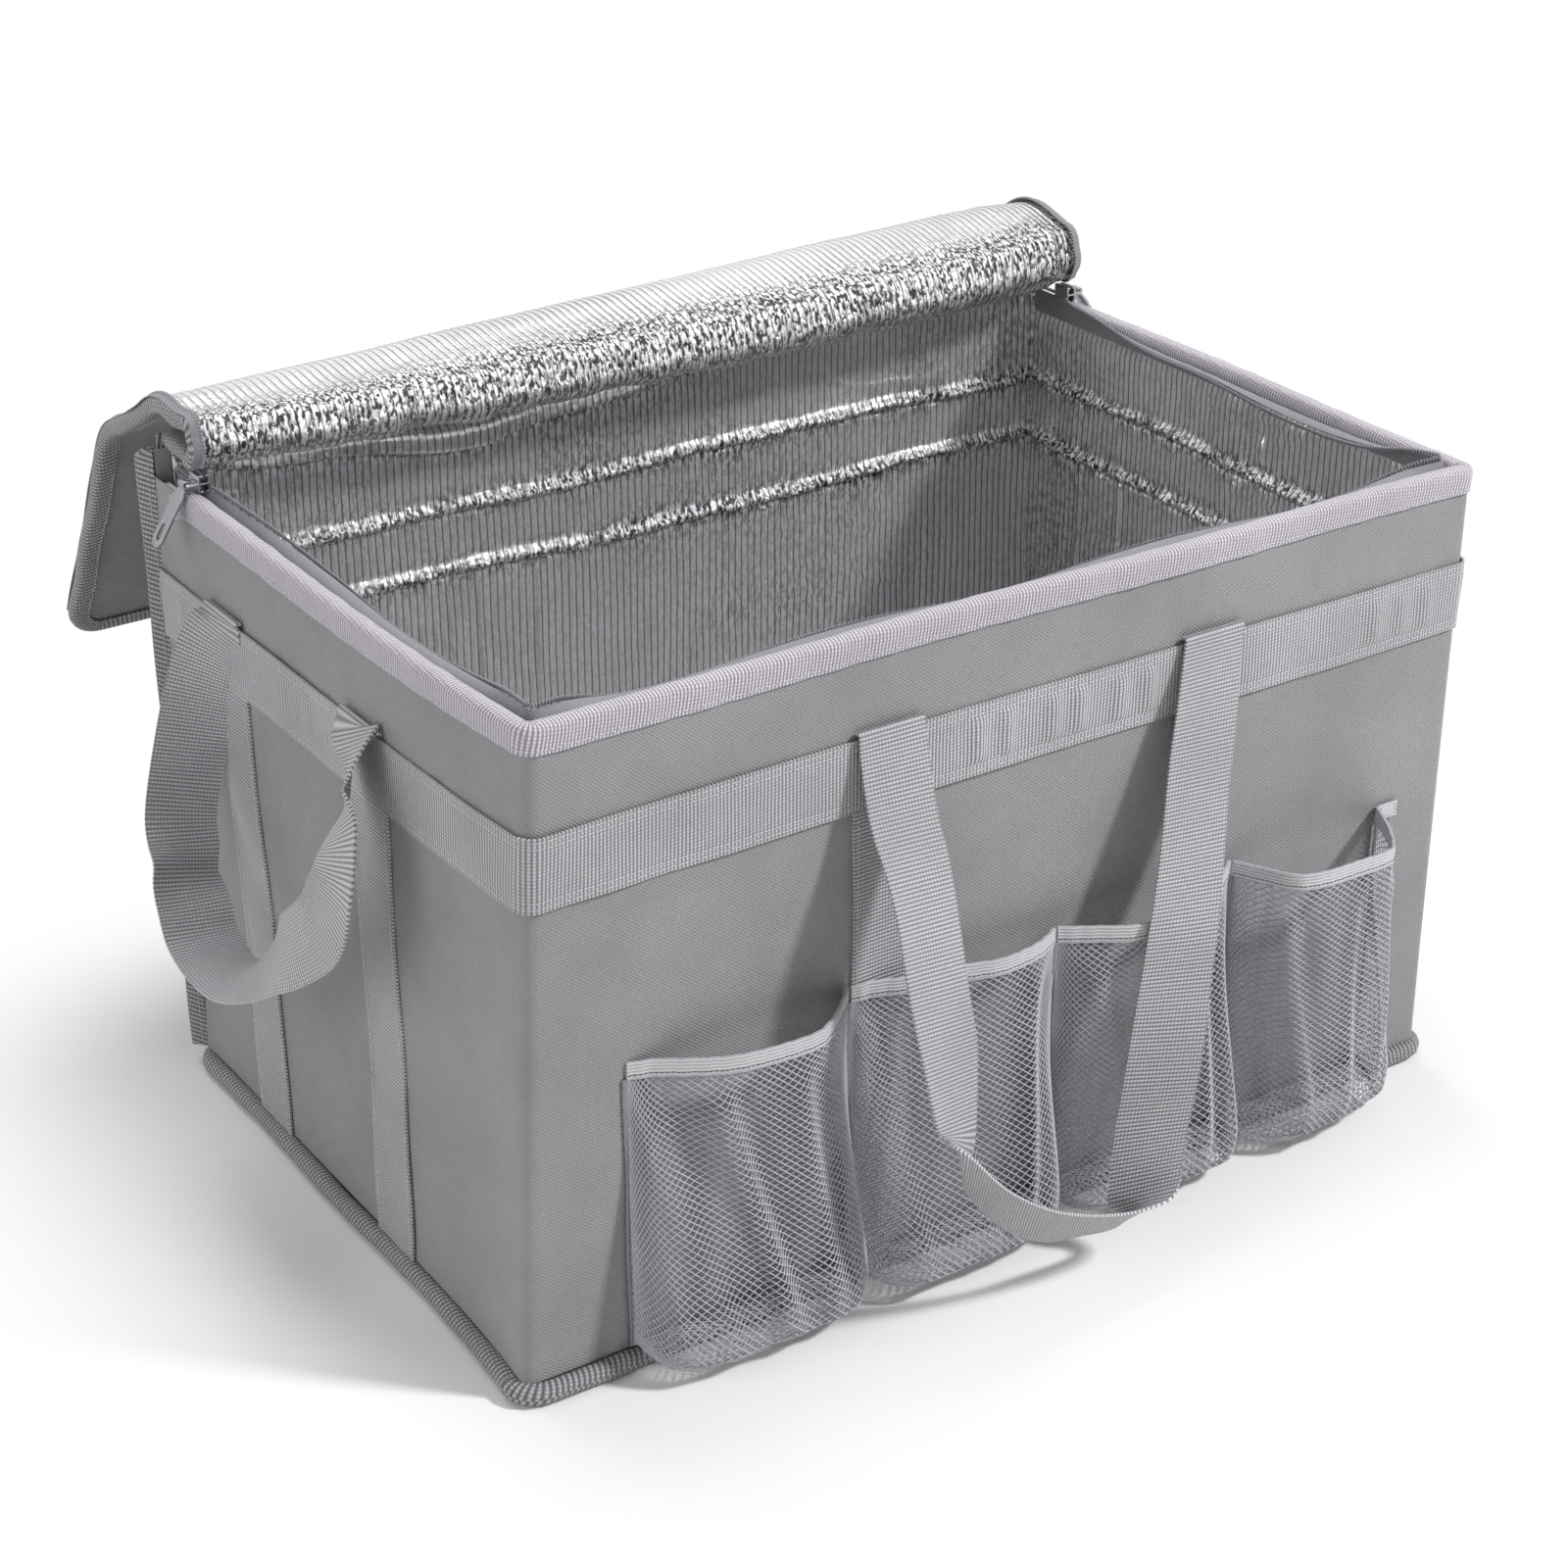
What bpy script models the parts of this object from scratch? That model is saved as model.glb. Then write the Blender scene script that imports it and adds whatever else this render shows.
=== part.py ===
"""Insulated cooler bag with a zipped fold-back lid, four webbing handles and four mesh pockets.

Metres, +Z up. The origin is the centre of the base, on the surface the bag stands on.
+X runs along the bag's long side to the right, and the front with the pockets faces -Y.
"""
import bpy
import bmesh
from math import cos, sin, pi, radians, sqrt
from mathutils import Matrix, Vector

# Body
BODY_LENGTH = 0.584
BODY_DEPTH = 0.378
RIM_HEIGHT = 0.360
GAP = 0.0003
WELD = 0.00001

# Sheets of the wall, from the outside in
FABRIC = 0.0009
WALL_FOAM = 0.0050
FOIL = 0.0008
BASE_BOARD = 0.0030
BASE_FOAM = 0.0050
CORNER_STEPS = 4

# Webbing
WEBBING_WIDTH = 0.038
WEBBING = 0.0012
BAND_BELOW_RIM = 0.053
FRONT_STRAP_X = (-0.088, 0.112)
SIDE_STRAP_Y = (-0.047, 0.107)
STRAP_FOOT_RISE = 0.003

# Bindings
BINDING = 0.0008
RIM_BINDING_DROP = 0.013
RIM_BINDING_CORNER_RADIUS = 0.004
CORNER_BINDING_WIDTH = 0.009
CORNER_BINDING_THICK = 0.003
CORNER_BINDING_INSET = 0.0005
CORNER_BINDING_SHORT = 0.004
CORNER_BINDING_BEVEL = 0.001
PIPING_STEPS = 4
PIPING_CORNER_RADIUS = 0.014
HINGE_TAPE_DROP = 0.020

# Zip: two coils, one on the body's tape and one on the lid's, and the sliders between them
TAPE = 0.0006
COIL_RADIUS = 0.0011
COIL_GAP = 0.0020
TAPE_RISE = 0.0039
TAPE_ROOT = 0.011
ZIP_CORNER_RADIUS = 0.008
SLIDER_LENGTH = 0.012
SLIDER_PLATE = 0.0012
SLIDER_FLANGE = 0.0010
SLIDER_CLEARANCE = 0.0005
SLIDER_LID_CLEARANCE = 0.0008
SLIDER_FROM_BACK = 0.040
BAIL_RADIUS = 0.0009
BAIL_LENGTH = 0.0095
BAIL_REACH = 0.0055
PULL_LENGTH = 0.036
PULL_WIDTH = 0.011
PULL_THICK = 0.0014
PULL_BARREL_RADIUS = 0.0023
PULL_BARREL_LENGTH = 0.0056
PULL_BORE_CLEARANCE = 0.0003
PULL_SLOT_LENGTH = 0.010
PULL_SLOT_WIDTH = 0.0045
PULL_SLOT_END = 0.0035
PULL_LEAN = radians(32)

# Lid, drawn flat and closed, then folded back about its creases
LID_SIDE_SHORT = 0.004
LID_FRONT_SHORT = 0.006
LID_CORNER_RADIUS = 0.020
LID_BINDING_WIDTH = 0.010
LID_CREASES = (0.044, 0.053, 0.062, 0.109, 0.194)
LID_FOLDS = (radians(50), radians(60), radians(66), radians(32), radians(32))

# Pockets: the row's two ends, with the seams between beside the front straps and midway
POCKET_ROW_X = (-0.238, 0.242)
POCKET_BESIDE_STRAP = 0.0025
POCKET_SEAM = 0.0010
POCKET_TOP = 0.1655
POCKET_BULGE = 0.044
POCKET_SAG = 0.012
POCKET_MESH = 0.0010
POCKET_EDGE = 0.0090
POCKET_EDGE_THICK = 0.0016
POCKET_COLUMNS = 12
POCKET_SQUARENESS = 6
POCKET_HEIGHT_SHARES = (0.0, 0.015, 0.035, 0.07, 0.14, 0.28, 0.45, 0.62, 0.80, 1.0)
POCKET_DEPTH_SHARES = (0.0, 0.28, 0.70, 0.92, 1.0, 1.0, 0.97, 0.92, 0.85, 0.78)
POCKET_SAG_SHARES = (0.0, 0.0, 1.0, 0.8, 0.4, 0.1, 0.0, 0.0, 0.0, 0.0)

# Handles: a rolled root at the band's upper edge, then a loop that hangs and leans out
HANDLE_WEBBING = 0.0014
HANDLE_ROOT_RADIUS = 0.0014
HANDLE_PIVOT_RISE = 0.0030
HANDLE_WALL_GAP = 0.0004
HANDLE_STEPS = 36
HANDLE_ROOT_STEPS = 5
HANDLE_ROOT_SWEEP = radians(171)
FRONT_LEAN = radians(15)
SIDE_LEAN = radians(10)
BACK_LEAN = radians(3)
FRONT_DROP = 0.262
SIDE_DROP = 0.195
HANDLE_TURN = radians(50)
TURN_START_SHARE = 0.8
# Each row is a place along the span between the roots, and a share of the drop
FRONT_LOOP_SHARES = (
    (0.0, 0.0), (0.015, 0.16), (0.03, 0.36), (0.04, 0.58), (0.06, 0.76), (0.13, 0.90),
    (0.27, 0.985), (0.42, 0.995), (0.55, 0.93), (0.64, 0.78), (0.70, 0.60), (0.78, 0.42),
    (0.88, 0.22), (1.0, 0.0))
BACK_LOOP_SHARES = (
    (0.0, 0.0), (0.01, 0.22), (0.03, 0.46), (0.07, 0.68), (0.15, 0.86), (0.30, 0.97),
    (0.5, 1.0), (0.70, 0.97), (0.85, 0.86), (0.93, 0.68), (0.97, 0.46), (0.99, 0.22), (1.0, 0.0))
SIDE_LOOP_SHARES = (
    (0.0, 0.0), (-0.04, 0.22), (-0.05, 0.46), (0.0, 0.68), (0.16, 0.85), (0.42, 0.96),
    (0.72, 1.0), (0.98, 0.93), (1.13, 0.76), (1.16, 0.54), (1.10, 0.28), (1.0, 0.0))

# Worked-out places
HALF_LENGTH = BODY_LENGTH / 2
HALF_DEPTH = BODY_DEPTH / 2
BAND_TOP = RIM_HEIGHT - BAND_BELOW_RIM
SLIDER_REST_Y = HALF_DEPTH - SLIDER_FROM_BACK
LID_HALF_WIDTH = HALF_LENGTH - LID_SIDE_SHORT
LID_REACH = BODY_DEPTH - LID_FRONT_SHORT
FOAM_FACE = FABRIC + GAP
FOIL_FACE = FOAM_FACE + WALL_FOAM + GAP
WALL = FOIL_FACE + FOIL
CORNER_RADIUS = FOAM_FACE + WALL_FOAM

BASE_BOARD_FOOT = FABRIC + GAP
BASE_FOAM_FOOT = BASE_BOARD_FOOT + BASE_BOARD + GAP
BASE_FOIL_FOOT = BASE_FOAM_FOOT + BASE_FOAM + GAP
BASE_TOP = BASE_FOIL_FOOT + FOIL
WALL_FOOT = BASE_TOP + GAP
PIPING_RADIUS = BASE_TOP / 2
PIPING_SET = WEBBING + FABRIC
BASE_INSET = PIPING_RADIUS - PIPING_SET + GAP

FRAME_TOP = RIM_HEIGHT - BINDING - GAP
BAND_FOOT = BAND_TOP - WEBBING_WIDTH

ZIP_LINE = WALL + GAP + BINDING + GAP + TAPE / 2
BODY_COIL_Z = RIM_HEIGHT + TAPE_RISE + COIL_RADIUS
LID_COIL_Z = BODY_COIL_Z + 2 * COIL_RADIUS + COIL_GAP
SLIDER_Z = (BODY_COIL_Z + LID_COIL_Z) / 2
SLIDER_HALF_HEIGHT = (LID_COIL_Z - BODY_COIL_Z) / 2 + COIL_RADIUS + SLIDER_CLEARANCE + SLIDER_FLANGE
SLIDER_INNER = COIL_RADIUS + 2 * SLIDER_CLEARANCE
SLIDER_OUTER = SLIDER_INNER + SLIDER_PLATE

LID_THICK = FABRIC + WALL_FOAM + FOIL + 2 * GAP
LID_UNDER = SLIDER_Z + SLIDER_HALF_HEIGHT + SLIDER_LID_CLEARANCE + BINDING + GAP
LID_TOP = LID_UNDER + LID_THICK
BACK_TOP = LID_UNDER - GAP
RIM_END = HALF_DEPTH - WALL - BINDING

HANDLE_PIVOT_OUT = HANDLE_WALL_GAP + HANDLE_ROOT_RADIUS + HANDLE_WEBBING / 2
HANDLE_PIVOT_Z = BAND_TOP + HANDLE_PIVOT_RISE

COLOURS = {
    "oxford_fabric": ((0.26, 0.26, 0.27), 0.85, 0.0),
    "webbing": ((0.40, 0.40, 0.41), 0.80, 0.0),
    "grosgrain_binding": ((0.45, 0.43, 0.46), 0.80, 0.0),
    "foil_liner": ((0.75, 0.75, 0.76), 0.25, 0.9),
    "closed_cell_foam": ((0.85, 0.85, 0.84), 0.9, 0.0),
    "stiffener_board": ((0.25, 0.25, 0.25), 0.6, 0.0),
    "zip_tape": ((0.35, 0.35, 0.36), 0.85, 0.0),
    "nylon_coil": ((0.30, 0.30, 0.31), 0.45, 0.0),
    "pocket_mesh": ((0.30, 0.30, 0.32), 0.7, 0.0),
    "pocket_elastic": ((0.48, 0.48, 0.49), 0.8, 0.0),
    "cast_zinc": ((0.55, 0.55, 0.56), 0.35, 0.9),
}


def clear_scene():
    """Remove whatever the scene holds."""
    for thing in list(bpy.data.objects):
        bpy.data.objects.remove(thing, do_unlink=True)


def new_collection(name):
    """Return a new collection under the scene."""
    group = bpy.data.collections.new(name)
    bpy.context.scene.collection.children.link(group)
    return group


def make_material(name):
    """Return the Principled material of that name, made once."""
    found = bpy.data.materials.get(name)
    if found:
        return found
    colour, roughness, metallic = COLOURS[name]
    material = bpy.data.materials.new(name)
    material.use_nodes = True
    shader = material.node_tree.nodes["Principled BSDF"]
    shader.inputs["Base Color"].default_value = (*colour, 1.0)
    shader.inputs["Roughness"].default_value = roughness
    shader.inputs["Metallic"].default_value = metallic
    material.diffuse_color = (*colour, 1.0)
    return material


def finish(name, mesh, material, origin=None):
    """Put a mesh in the bag's collection, with its origin moved to a joint's axis if one is given."""
    mesh.name = name
    mesh.materials.clear()
    mesh.materials.append(make_material(material))
    thing = bpy.data.objects.new(name, mesh)
    BAG.objects.link(thing)
    if origin is not None:
        mesh.transform(Matrix.Translation(-Vector(origin)))
        thing.location = origin
    return thing


def mesh_from(bm, name):
    """Turn a bmesh into a mesh and free it."""
    mesh = bpy.data.meshes.new(name)
    bm.to_mesh(mesh)
    bm.free()
    return mesh


def block_bmesh(low, high):
    """Return a bmesh box between two corners."""
    low, high = Vector(low), Vector(high)
    bm = bmesh.new()
    bmesh.ops.create_cube(bm, size=1)
    bmesh.ops.scale(bm, vec=high - low, verts=bm.verts)
    bmesh.ops.translate(bm, vec=(low + high) / 2, verts=bm.verts)
    return bm


def block(name, low, high, material, matrix=None, origin=None):
    """Add a board or strip between two corners, moved by a matrix if one is given."""
    mesh = mesh_from(block_bmesh(low, high), name)
    if matrix is not None:
        mesh.transform(matrix)
    return finish(name, mesh, material, origin)


def surface(rows, closed=False):
    """Return an open surface: a line of points, extruded to each next row of points in turn."""
    bm = bmesh.new()
    verts = [bm.verts.new(point) for point in rows[0]]
    edges = [bm.edges.new(pair) for pair in zip(verts, verts[1:])]
    if closed:
        edges.append(bm.edges.new((verts[-1], verts[0])))
    for row in rows[1:]:
        made = bmesh.ops.extrude_edge_only(bm, edges=edges)["geom"]
        fresh = [item for item in made if isinstance(item, bmesh.types.BMVert)]
        edges = [item for item in made if isinstance(item, bmesh.types.BMEdge) and
                 item.verts[0] in fresh and item.verts[1] in fresh]
        lower = {vert: other_end(vert, fresh) for vert in fresh}
        place = {old: Vector(point) for old, point in zip(verts, row)}
        for vert in fresh:
            vert.co = place[lower[vert]]
        upper = {old: vert for vert, old in lower.items()}
        verts = [upper[old] for old in verts]
    return bm


def other_end(vert, fresh):
    """Return the vertex of the previous row that an extruded vertex came from."""
    for edge in vert.link_edges:
        far = edge.other_vert(vert)
        if far not in fresh:
            return far
    return None


def sheet(name, rows, thickness, material, closed=False, matrix=None, origin=None):
    """Add a sheet of even thickness, centred on the surface through the rows of points."""
    mesh = mesh_from(surface(rows, closed), name)
    if matrix is not None:
        mesh.transform(matrix)
    thing = finish(name, mesh, material, origin)
    wall = thing.modifiers.new("thickness", "SOLIDIFY")
    wall.thickness = thickness
    wall.offset = 0
    wall.use_even_offset = True
    return thing


def arc(centre, radius, start, end, steps):
    """Return points on a plan arc from one angle to another."""
    return [(centre[0] + radius * cos(start + (end - start) * i / steps),
             centre[1] + radius * sin(start + (end - start) * i / steps)) for i in range(steps + 1)]


def rounded_plan(x, y, radius, steps):
    """Return the closed plan outline of a rectangle with rounded corners, from its half sizes."""
    line = []
    for quarter, (sx, sy) in enumerate(((-1, -1), (1, -1), (1, 1), (-1, 1))):
        start = pi + quarter * pi / 2
        line += arc((sx * (x - radius), sy * (y - radius)), radius, start, start + pi / 2, steps)
    return line


def wrap_line(inset, radius, back):
    """Return the plan line that runs round the left, front and right, inset from the body's faces."""
    x, y = HALF_LENGTH - inset, HALF_DEPTH - inset
    left = arc((-x + radius, -y + radius), radius, pi, 1.5 * pi, CORNER_STEPS)
    right = arc((x - radius, -y + radius), radius, 1.5 * pi, 2 * pi, CORNER_STEPS)
    return [(-x, back)] + left + right + [(x, back)]


def at_height(line, z):
    """Lift a plan line to a height."""
    return [(x, y, z) for x, y in line]


def curtain(name, line, foot, top, thickness, material, matrix=None):
    """Add an upright sheet along a plan line."""
    return sheet(name, [at_height(line, foot), at_height(line, top)], thickness, material, matrix=matrix)


def tube_mesh(points, radius, cyclic=False, resolution=2):
    """Return the mesh of a round tube along points, with filled caps."""
    curve = bpy.data.curves.new("tube", "CURVE")
    curve.dimensions = "3D"
    curve.bevel_depth = radius
    curve.bevel_resolution = resolution
    curve.use_fill_caps = True
    spline = curve.splines.new("POLY")
    spline.points.add(len(points) - 1)
    spline.use_cyclic_u = cyclic
    for slot, point in zip(spline.points, points):
        slot.co = (*point, 1)
    return mesh_of_curve(curve)


def mesh_of_curve(curve):
    """Evaluate a curve to a mesh, weld its caps and remove the curve."""
    guide = bpy.data.objects.new("guide", curve)
    BAG.objects.link(guide)
    bpy.context.view_layer.update()
    seen = guide.evaluated_get(bpy.context.evaluated_depsgraph_get())
    mesh = bpy.data.meshes.new_from_object(seen)
    bpy.data.objects.remove(guide, do_unlink=True)
    bpy.data.curves.remove(curve)
    bm = bmesh.new()
    bm.from_mesh(mesh)
    bmesh.ops.remove_doubles(bm, verts=bm.verts, dist=WELD)
    bm.to_mesh(mesh)
    bm.free()
    return mesh


def outline_mesh(outlines, thickness):
    """Return a flat plate from closed outlines in its own X and Y, the later ones being holes."""
    curve = bpy.data.curves.new("outline", "CURVE")
    curve.dimensions = "2D"
    curve.fill_mode = "BOTH"
    curve.extrude = thickness / 2
    for outline in outlines:
        spline = curve.splines.new("POLY")
        spline.points.add(len(outline) - 1)
        spline.use_cyclic_u = True
        for slot, (x, y) in zip(spline.points, outline):
            slot.co = (x, y, 0, 1)
    return mesh_of_curve(curve)


def boolean(thing, cutter, operation):
    """Join a mesh object with a cutter, or cut it, and keep the result as its mesh."""
    change = thing.modifiers.new("boolean", "BOOLEAN")
    change.operation = operation
    change.solver = "EXACT"
    change.object = cutter
    bpy.context.view_layer.update()
    seen = thing.evaluated_get(bpy.context.evaluated_depsgraph_get())
    mesh = bpy.data.meshes.new_from_object(seen)
    thing.modifiers.clear()
    old, thing.data = thing.data, mesh
    mesh.name = thing.name
    bpy.data.meshes.remove(old)
    bpy.data.objects.remove(cutter, do_unlink=True)


def cutter_of(mesh, matrix):
    """Put a mesh in the cutters' collection for one boolean."""
    thing = bpy.data.objects.new("cutter", mesh)
    thing.matrix_world = matrix
    thing.hide_render = True
    thing.display_type = "WIRE"
    CUTTERS.objects.link(thing)
    return thing


def smooth_line(points, steps):
    """Return evenly stepped points on a Catmull-Rom curve through the points."""
    points = [Vector(point) for point in points]
    padded = [2 * points[0] - points[1]] + points + [2 * points[-1] - points[-2]]
    spans = len(points) - 1
    line = []
    for i in range(steps + 1):
        place = i * spans / steps
        k = min(int(place), spans - 1)
        t = place - k
        a, b, c, d = padded[k:k + 4]
        line.append(0.5 * ((2 * b) + (c - a) * t + (2 * a - 5 * b + 4 * c - d) * t ** 2 +
                           (3 * b - a - 3 * c + d) * t ** 3))
    return line


def build_base():
    """The flat stack that closes the bottom, and the piping that runs round it."""
    x, y = HALF_LENGTH - BASE_INSET, HALF_DEPTH - BASE_INSET
    plan = rounded_plan(x, y, PIPING_CORNER_RADIUS + x - HALF_LENGTH - PIPING_SET, PIPING_STEPS)
    stack = (
        ("base_panel", 0, FABRIC, "oxford_fabric"),
        ("base_board", BASE_BOARD_FOOT, BASE_BOARD, "stiffener_board"),
        ("base_foam", BASE_FOAM_FOOT, BASE_FOAM, "closed_cell_foam"),
        ("liner_base", BASE_FOIL_FOOT, FOIL, "foil_liner"),
    )
    for name, foot, thick, material in stack:
        mesh = outline_mesh([plan], thick)
        mesh.transform(Matrix.Translation((0, 0, foot + thick / 2)))
        finish(name, mesh, material)

    line = rounded_plan(HALF_LENGTH + PIPING_SET, HALF_DEPTH + PIPING_SET, PIPING_CORNER_RADIUS, PIPING_STEPS)
    mesh = tube_mesh(at_height(line, PIPING_RADIUS), PIPING_RADIUS, cyclic=True)
    finish("base_piping", mesh, "grosgrain_binding")


def build_walls():
    """The fabric, foam and foil of the four walls."""
    middle = FABRIC / 2
    line = wrap_line(middle, CORNER_RADIUS - middle, HALF_DEPTH)
    curtain("outer_wrap", line, WALL_FOOT, FRAME_TOP, FABRIC, "oxford_fabric")

    x = HALF_LENGTH - FOAM_FACE
    inner = HALF_DEPTH - FOAM_FACE - WALL_FOAM
    back_face = HALF_DEPTH - FOAM_FACE
    block("back_panel", (-x, HALF_DEPTH - FABRIC, WALL_FOOT), (x, HALF_DEPTH, BACK_TOP), "oxford_fabric")
    block("back_foam", (-x, inner, WALL_FOOT), (x, back_face, BACK_TOP), "closed_cell_foam")
    for side, name in ((-1, "left_foam"), (1, "right_foam")):
        near, far = sorted((side * x, side * (x - WALL_FOAM)))
        block(name, (near, -inner + GAP, WALL_FOOT), (far, inner - GAP, FRAME_TOP), "closed_cell_foam")
    build_front_foam(x, inner, back_face)

    middle = FOIL_FACE + FOIL / 2
    line = wrap_line(middle, FOIL, inner - GAP)
    curtain("liner_wrap", line, WALL_FOOT, FRAME_TOP, FOIL, "foil_liner")
    edge = HALF_LENGTH - WALL - GAP
    block("liner_back", (-edge, inner - GAP - FOIL, WALL_FOOT), (edge, inner - GAP, BACK_TOP), "foil_liner")


def build_front_foam(x, inner, face):
    """The front board, whose two upright outer edges are rounded for the wrap to pass round."""
    r = WALL_FOAM - GAP
    line = arc((-x + r, -face + r), r, pi, 1.5 * pi, CORNER_STEPS)
    line += arc((x - r, -face + r), r, 1.5 * pi, 2 * pi, CORNER_STEPS)
    line += [(x, -inner), (-x, -inner)]
    height = FRAME_TOP - WALL_FOOT
    mesh = outline_mesh([line], height)
    mesh.transform(Matrix.Translation((0, 0, WALL_FOOT + height / 2)))
    finish("front_foam", mesh, "closed_cell_foam")


def build_bindings():
    """The channel over the rim, the bound back corners and the tape that hinges the lid."""
    half = BINDING / 2
    out = -GAP - half
    into = WALL + GAP + half
    top = RIM_HEIGHT - half
    foot = RIM_HEIGHT - RIM_BINDING_DROP
    outer = wrap_line(out, CORNER_RADIUS - out, RIM_END)
    inner = wrap_line(into, RIM_BINDING_CORNER_RADIUS, RIM_END)
    rows = [at_height(outer, foot), at_height(outer, top), at_height(inner, top), at_height(inner, foot)]
    sheet("rim_binding", rows, BINDING, "grosgrain_binding")

    near = HALF_LENGTH - CORNER_BINDING_INSET
    far = near - CORNER_BINDING_THICK
    low, high = HALF_DEPTH + GAP, HALF_DEPTH + GAP + CORNER_BINDING_WIDTH
    top = BACK_TOP - CORNER_BINDING_SHORT
    for side, name in ((-1, "corner_binding_left"), (1, "corner_binding_right")):
        x0, x1 = sorted((side * near, side * far))
        bm = block_bmesh((x0, low, WALL_FOOT), (x1, high, top))
        edges = [edge for edge in bm.edges if all(v.co.y > (low + high) / 2 for v in edge.verts) and
                 abs(edge.verts[0].co.z - edge.verts[1].co.z) > CORNER_BINDING_WIDTH]
        bmesh.ops.bevel(bm, geom=edges, offset=CORNER_BINDING_BEVEL, segments=2, profile=0.5,
                        affect="EDGES", material=-1)
        finish(name, mesh_from(bm, name), "grosgrain_binding")

    tape = HALF_LENGTH - CORNER_BINDING_INSET - CORNER_BINDING_THICK - GAP
    block("hinge_tape", (-tape, HALF_DEPTH + GAP, BACK_TOP - HINGE_TAPE_DROP),
          (tape, HALF_DEPTH + GAP + BINDING, LID_TOP), "grosgrain_binding")


def build_webbing():
    """The band round the body and the straps that run down from it to the base."""
    out = -GAP - WEBBING / 2
    line = wrap_line(out, CORNER_RADIUS - out, HALF_DEPTH)
    curtain("band_wrap", line, BAND_FOOT, BAND_TOP, WEBBING, "webbing")
    edge = HALF_LENGTH - CORNER_BINDING_INSET - CORNER_BINDING_THICK - GAP
    face = HALF_DEPTH + GAP
    block("band_back", (-edge, face, BAND_FOOT), (edge, face + WEBBING, BAND_TOP), "webbing")

    half = WEBBING_WIDTH / 2
    top = BAND_FOOT - GAP
    foot = WALL_FOOT + STRAP_FOOT_RISE
    for x, name in zip(FRONT_STRAP_X, ("left", "right")):
        block("strap_front_" + name, (x - half, -face - WEBBING, foot), (x + half, -face, top), "webbing")
        block("strap_back_" + name, (x - half, face, WALL_FOOT), (x + half, face + WEBBING, top), "webbing")
    for side, name in ((-1, "left"), (1, "right")):
        x0, x1 = sorted((side * (HALF_LENGTH + GAP), side * (HALF_LENGTH + GAP + WEBBING)))
        for y, end in zip(SIDE_STRAP_Y, ("front", "back")):
            block(f"strap_{name}_{end}", (x0, y - half, WALL_FOOT), (x1, y + half, top), "webbing")


def pocket_fullness(u):
    """Return how far out the mesh stands across a pocket, from 0 at a seam to 1."""
    return sqrt(max(0.0, 1 - abs(2 * u - 1) ** POCKET_SQUARENESS))


def build_pockets():
    """Four mesh pockets sewn to the front at both sides and the bottom, each with a bound elastic edge."""
    wall = -HALF_DEPTH - GAP - POCKET_MESH / 2
    foot = WALL_FOOT + POCKET_MESH
    beside = WEBBING_WIDTH / 2 + POCKET_BESIDE_STRAP
    inner = (FRONT_STRAP_X[0] - beside, sum(FRONT_STRAP_X) / 2, FRONT_STRAP_X[1] + beside)
    seams = (POCKET_ROW_X[0], *inner, POCKET_ROW_X[1])
    shares = [0.5 - 0.5 * cos(pi * i / POCKET_COLUMNS) for i in range(POCKET_COLUMNS + 1)]
    edge_wall = wall - (POCKET_EDGE_THICK - POCKET_MESH) / 2
    for k, (left, right) in enumerate(zip(seams, seams[1:])):
        left += POCKET_SEAM
        width = right - POCKET_SEAM - left
        rows = []
        for height, depth, sag in zip(POCKET_HEIGHT_SHARES, POCKET_DEPTH_SHARES, POCKET_SAG_SHARES):
            z = foot + (POCKET_TOP - foot) * height
            rows.append([(left + width * u, wall - POCKET_BULGE * depth * pocket_fullness(u),
                          z - POCKET_SAG * sag * pocket_fullness(u)) for u in shares])
        sheet(f"pocket_mesh_{k + 1}", rows, POCKET_MESH, "pocket_mesh")

        mouth = POCKET_BULGE * POCKET_DEPTH_SHARES[-1]
        line = [(left + width * u, edge_wall - mouth * pocket_fullness(u)) for u in shares]
        foot_z = POCKET_TOP + GAP
        curtain(f"pocket_edge_{k + 1}", line, foot_z, foot_z + POCKET_EDGE, POCKET_EDGE_THICK, "pocket_elastic")


def handle_turn(share):
    """Return the webbing's turn out of the loop's plane: none at the roots, full at the bottom."""
    rise = min(1.0, max(0.0, (sin(pi * share) - TURN_START_SHARE) / (1 - TURN_START_SHARE)))
    return HANDLE_TURN * rise * rise * (3 - 2 * rise)


def root_ring():
    """Return the steps of a handle's rolled root, from the wall over the top towards the loop."""
    turns = [HANDLE_ROOT_SWEEP * (1 - i / HANDLE_ROOT_STEPS) for i in range(HANDLE_ROOT_STEPS)]
    return [Vector((0, HANDLE_ROOT_RADIUS * cos(turn), HANDLE_ROOT_RADIUS * sin(turn))) for turn in turns]


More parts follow.
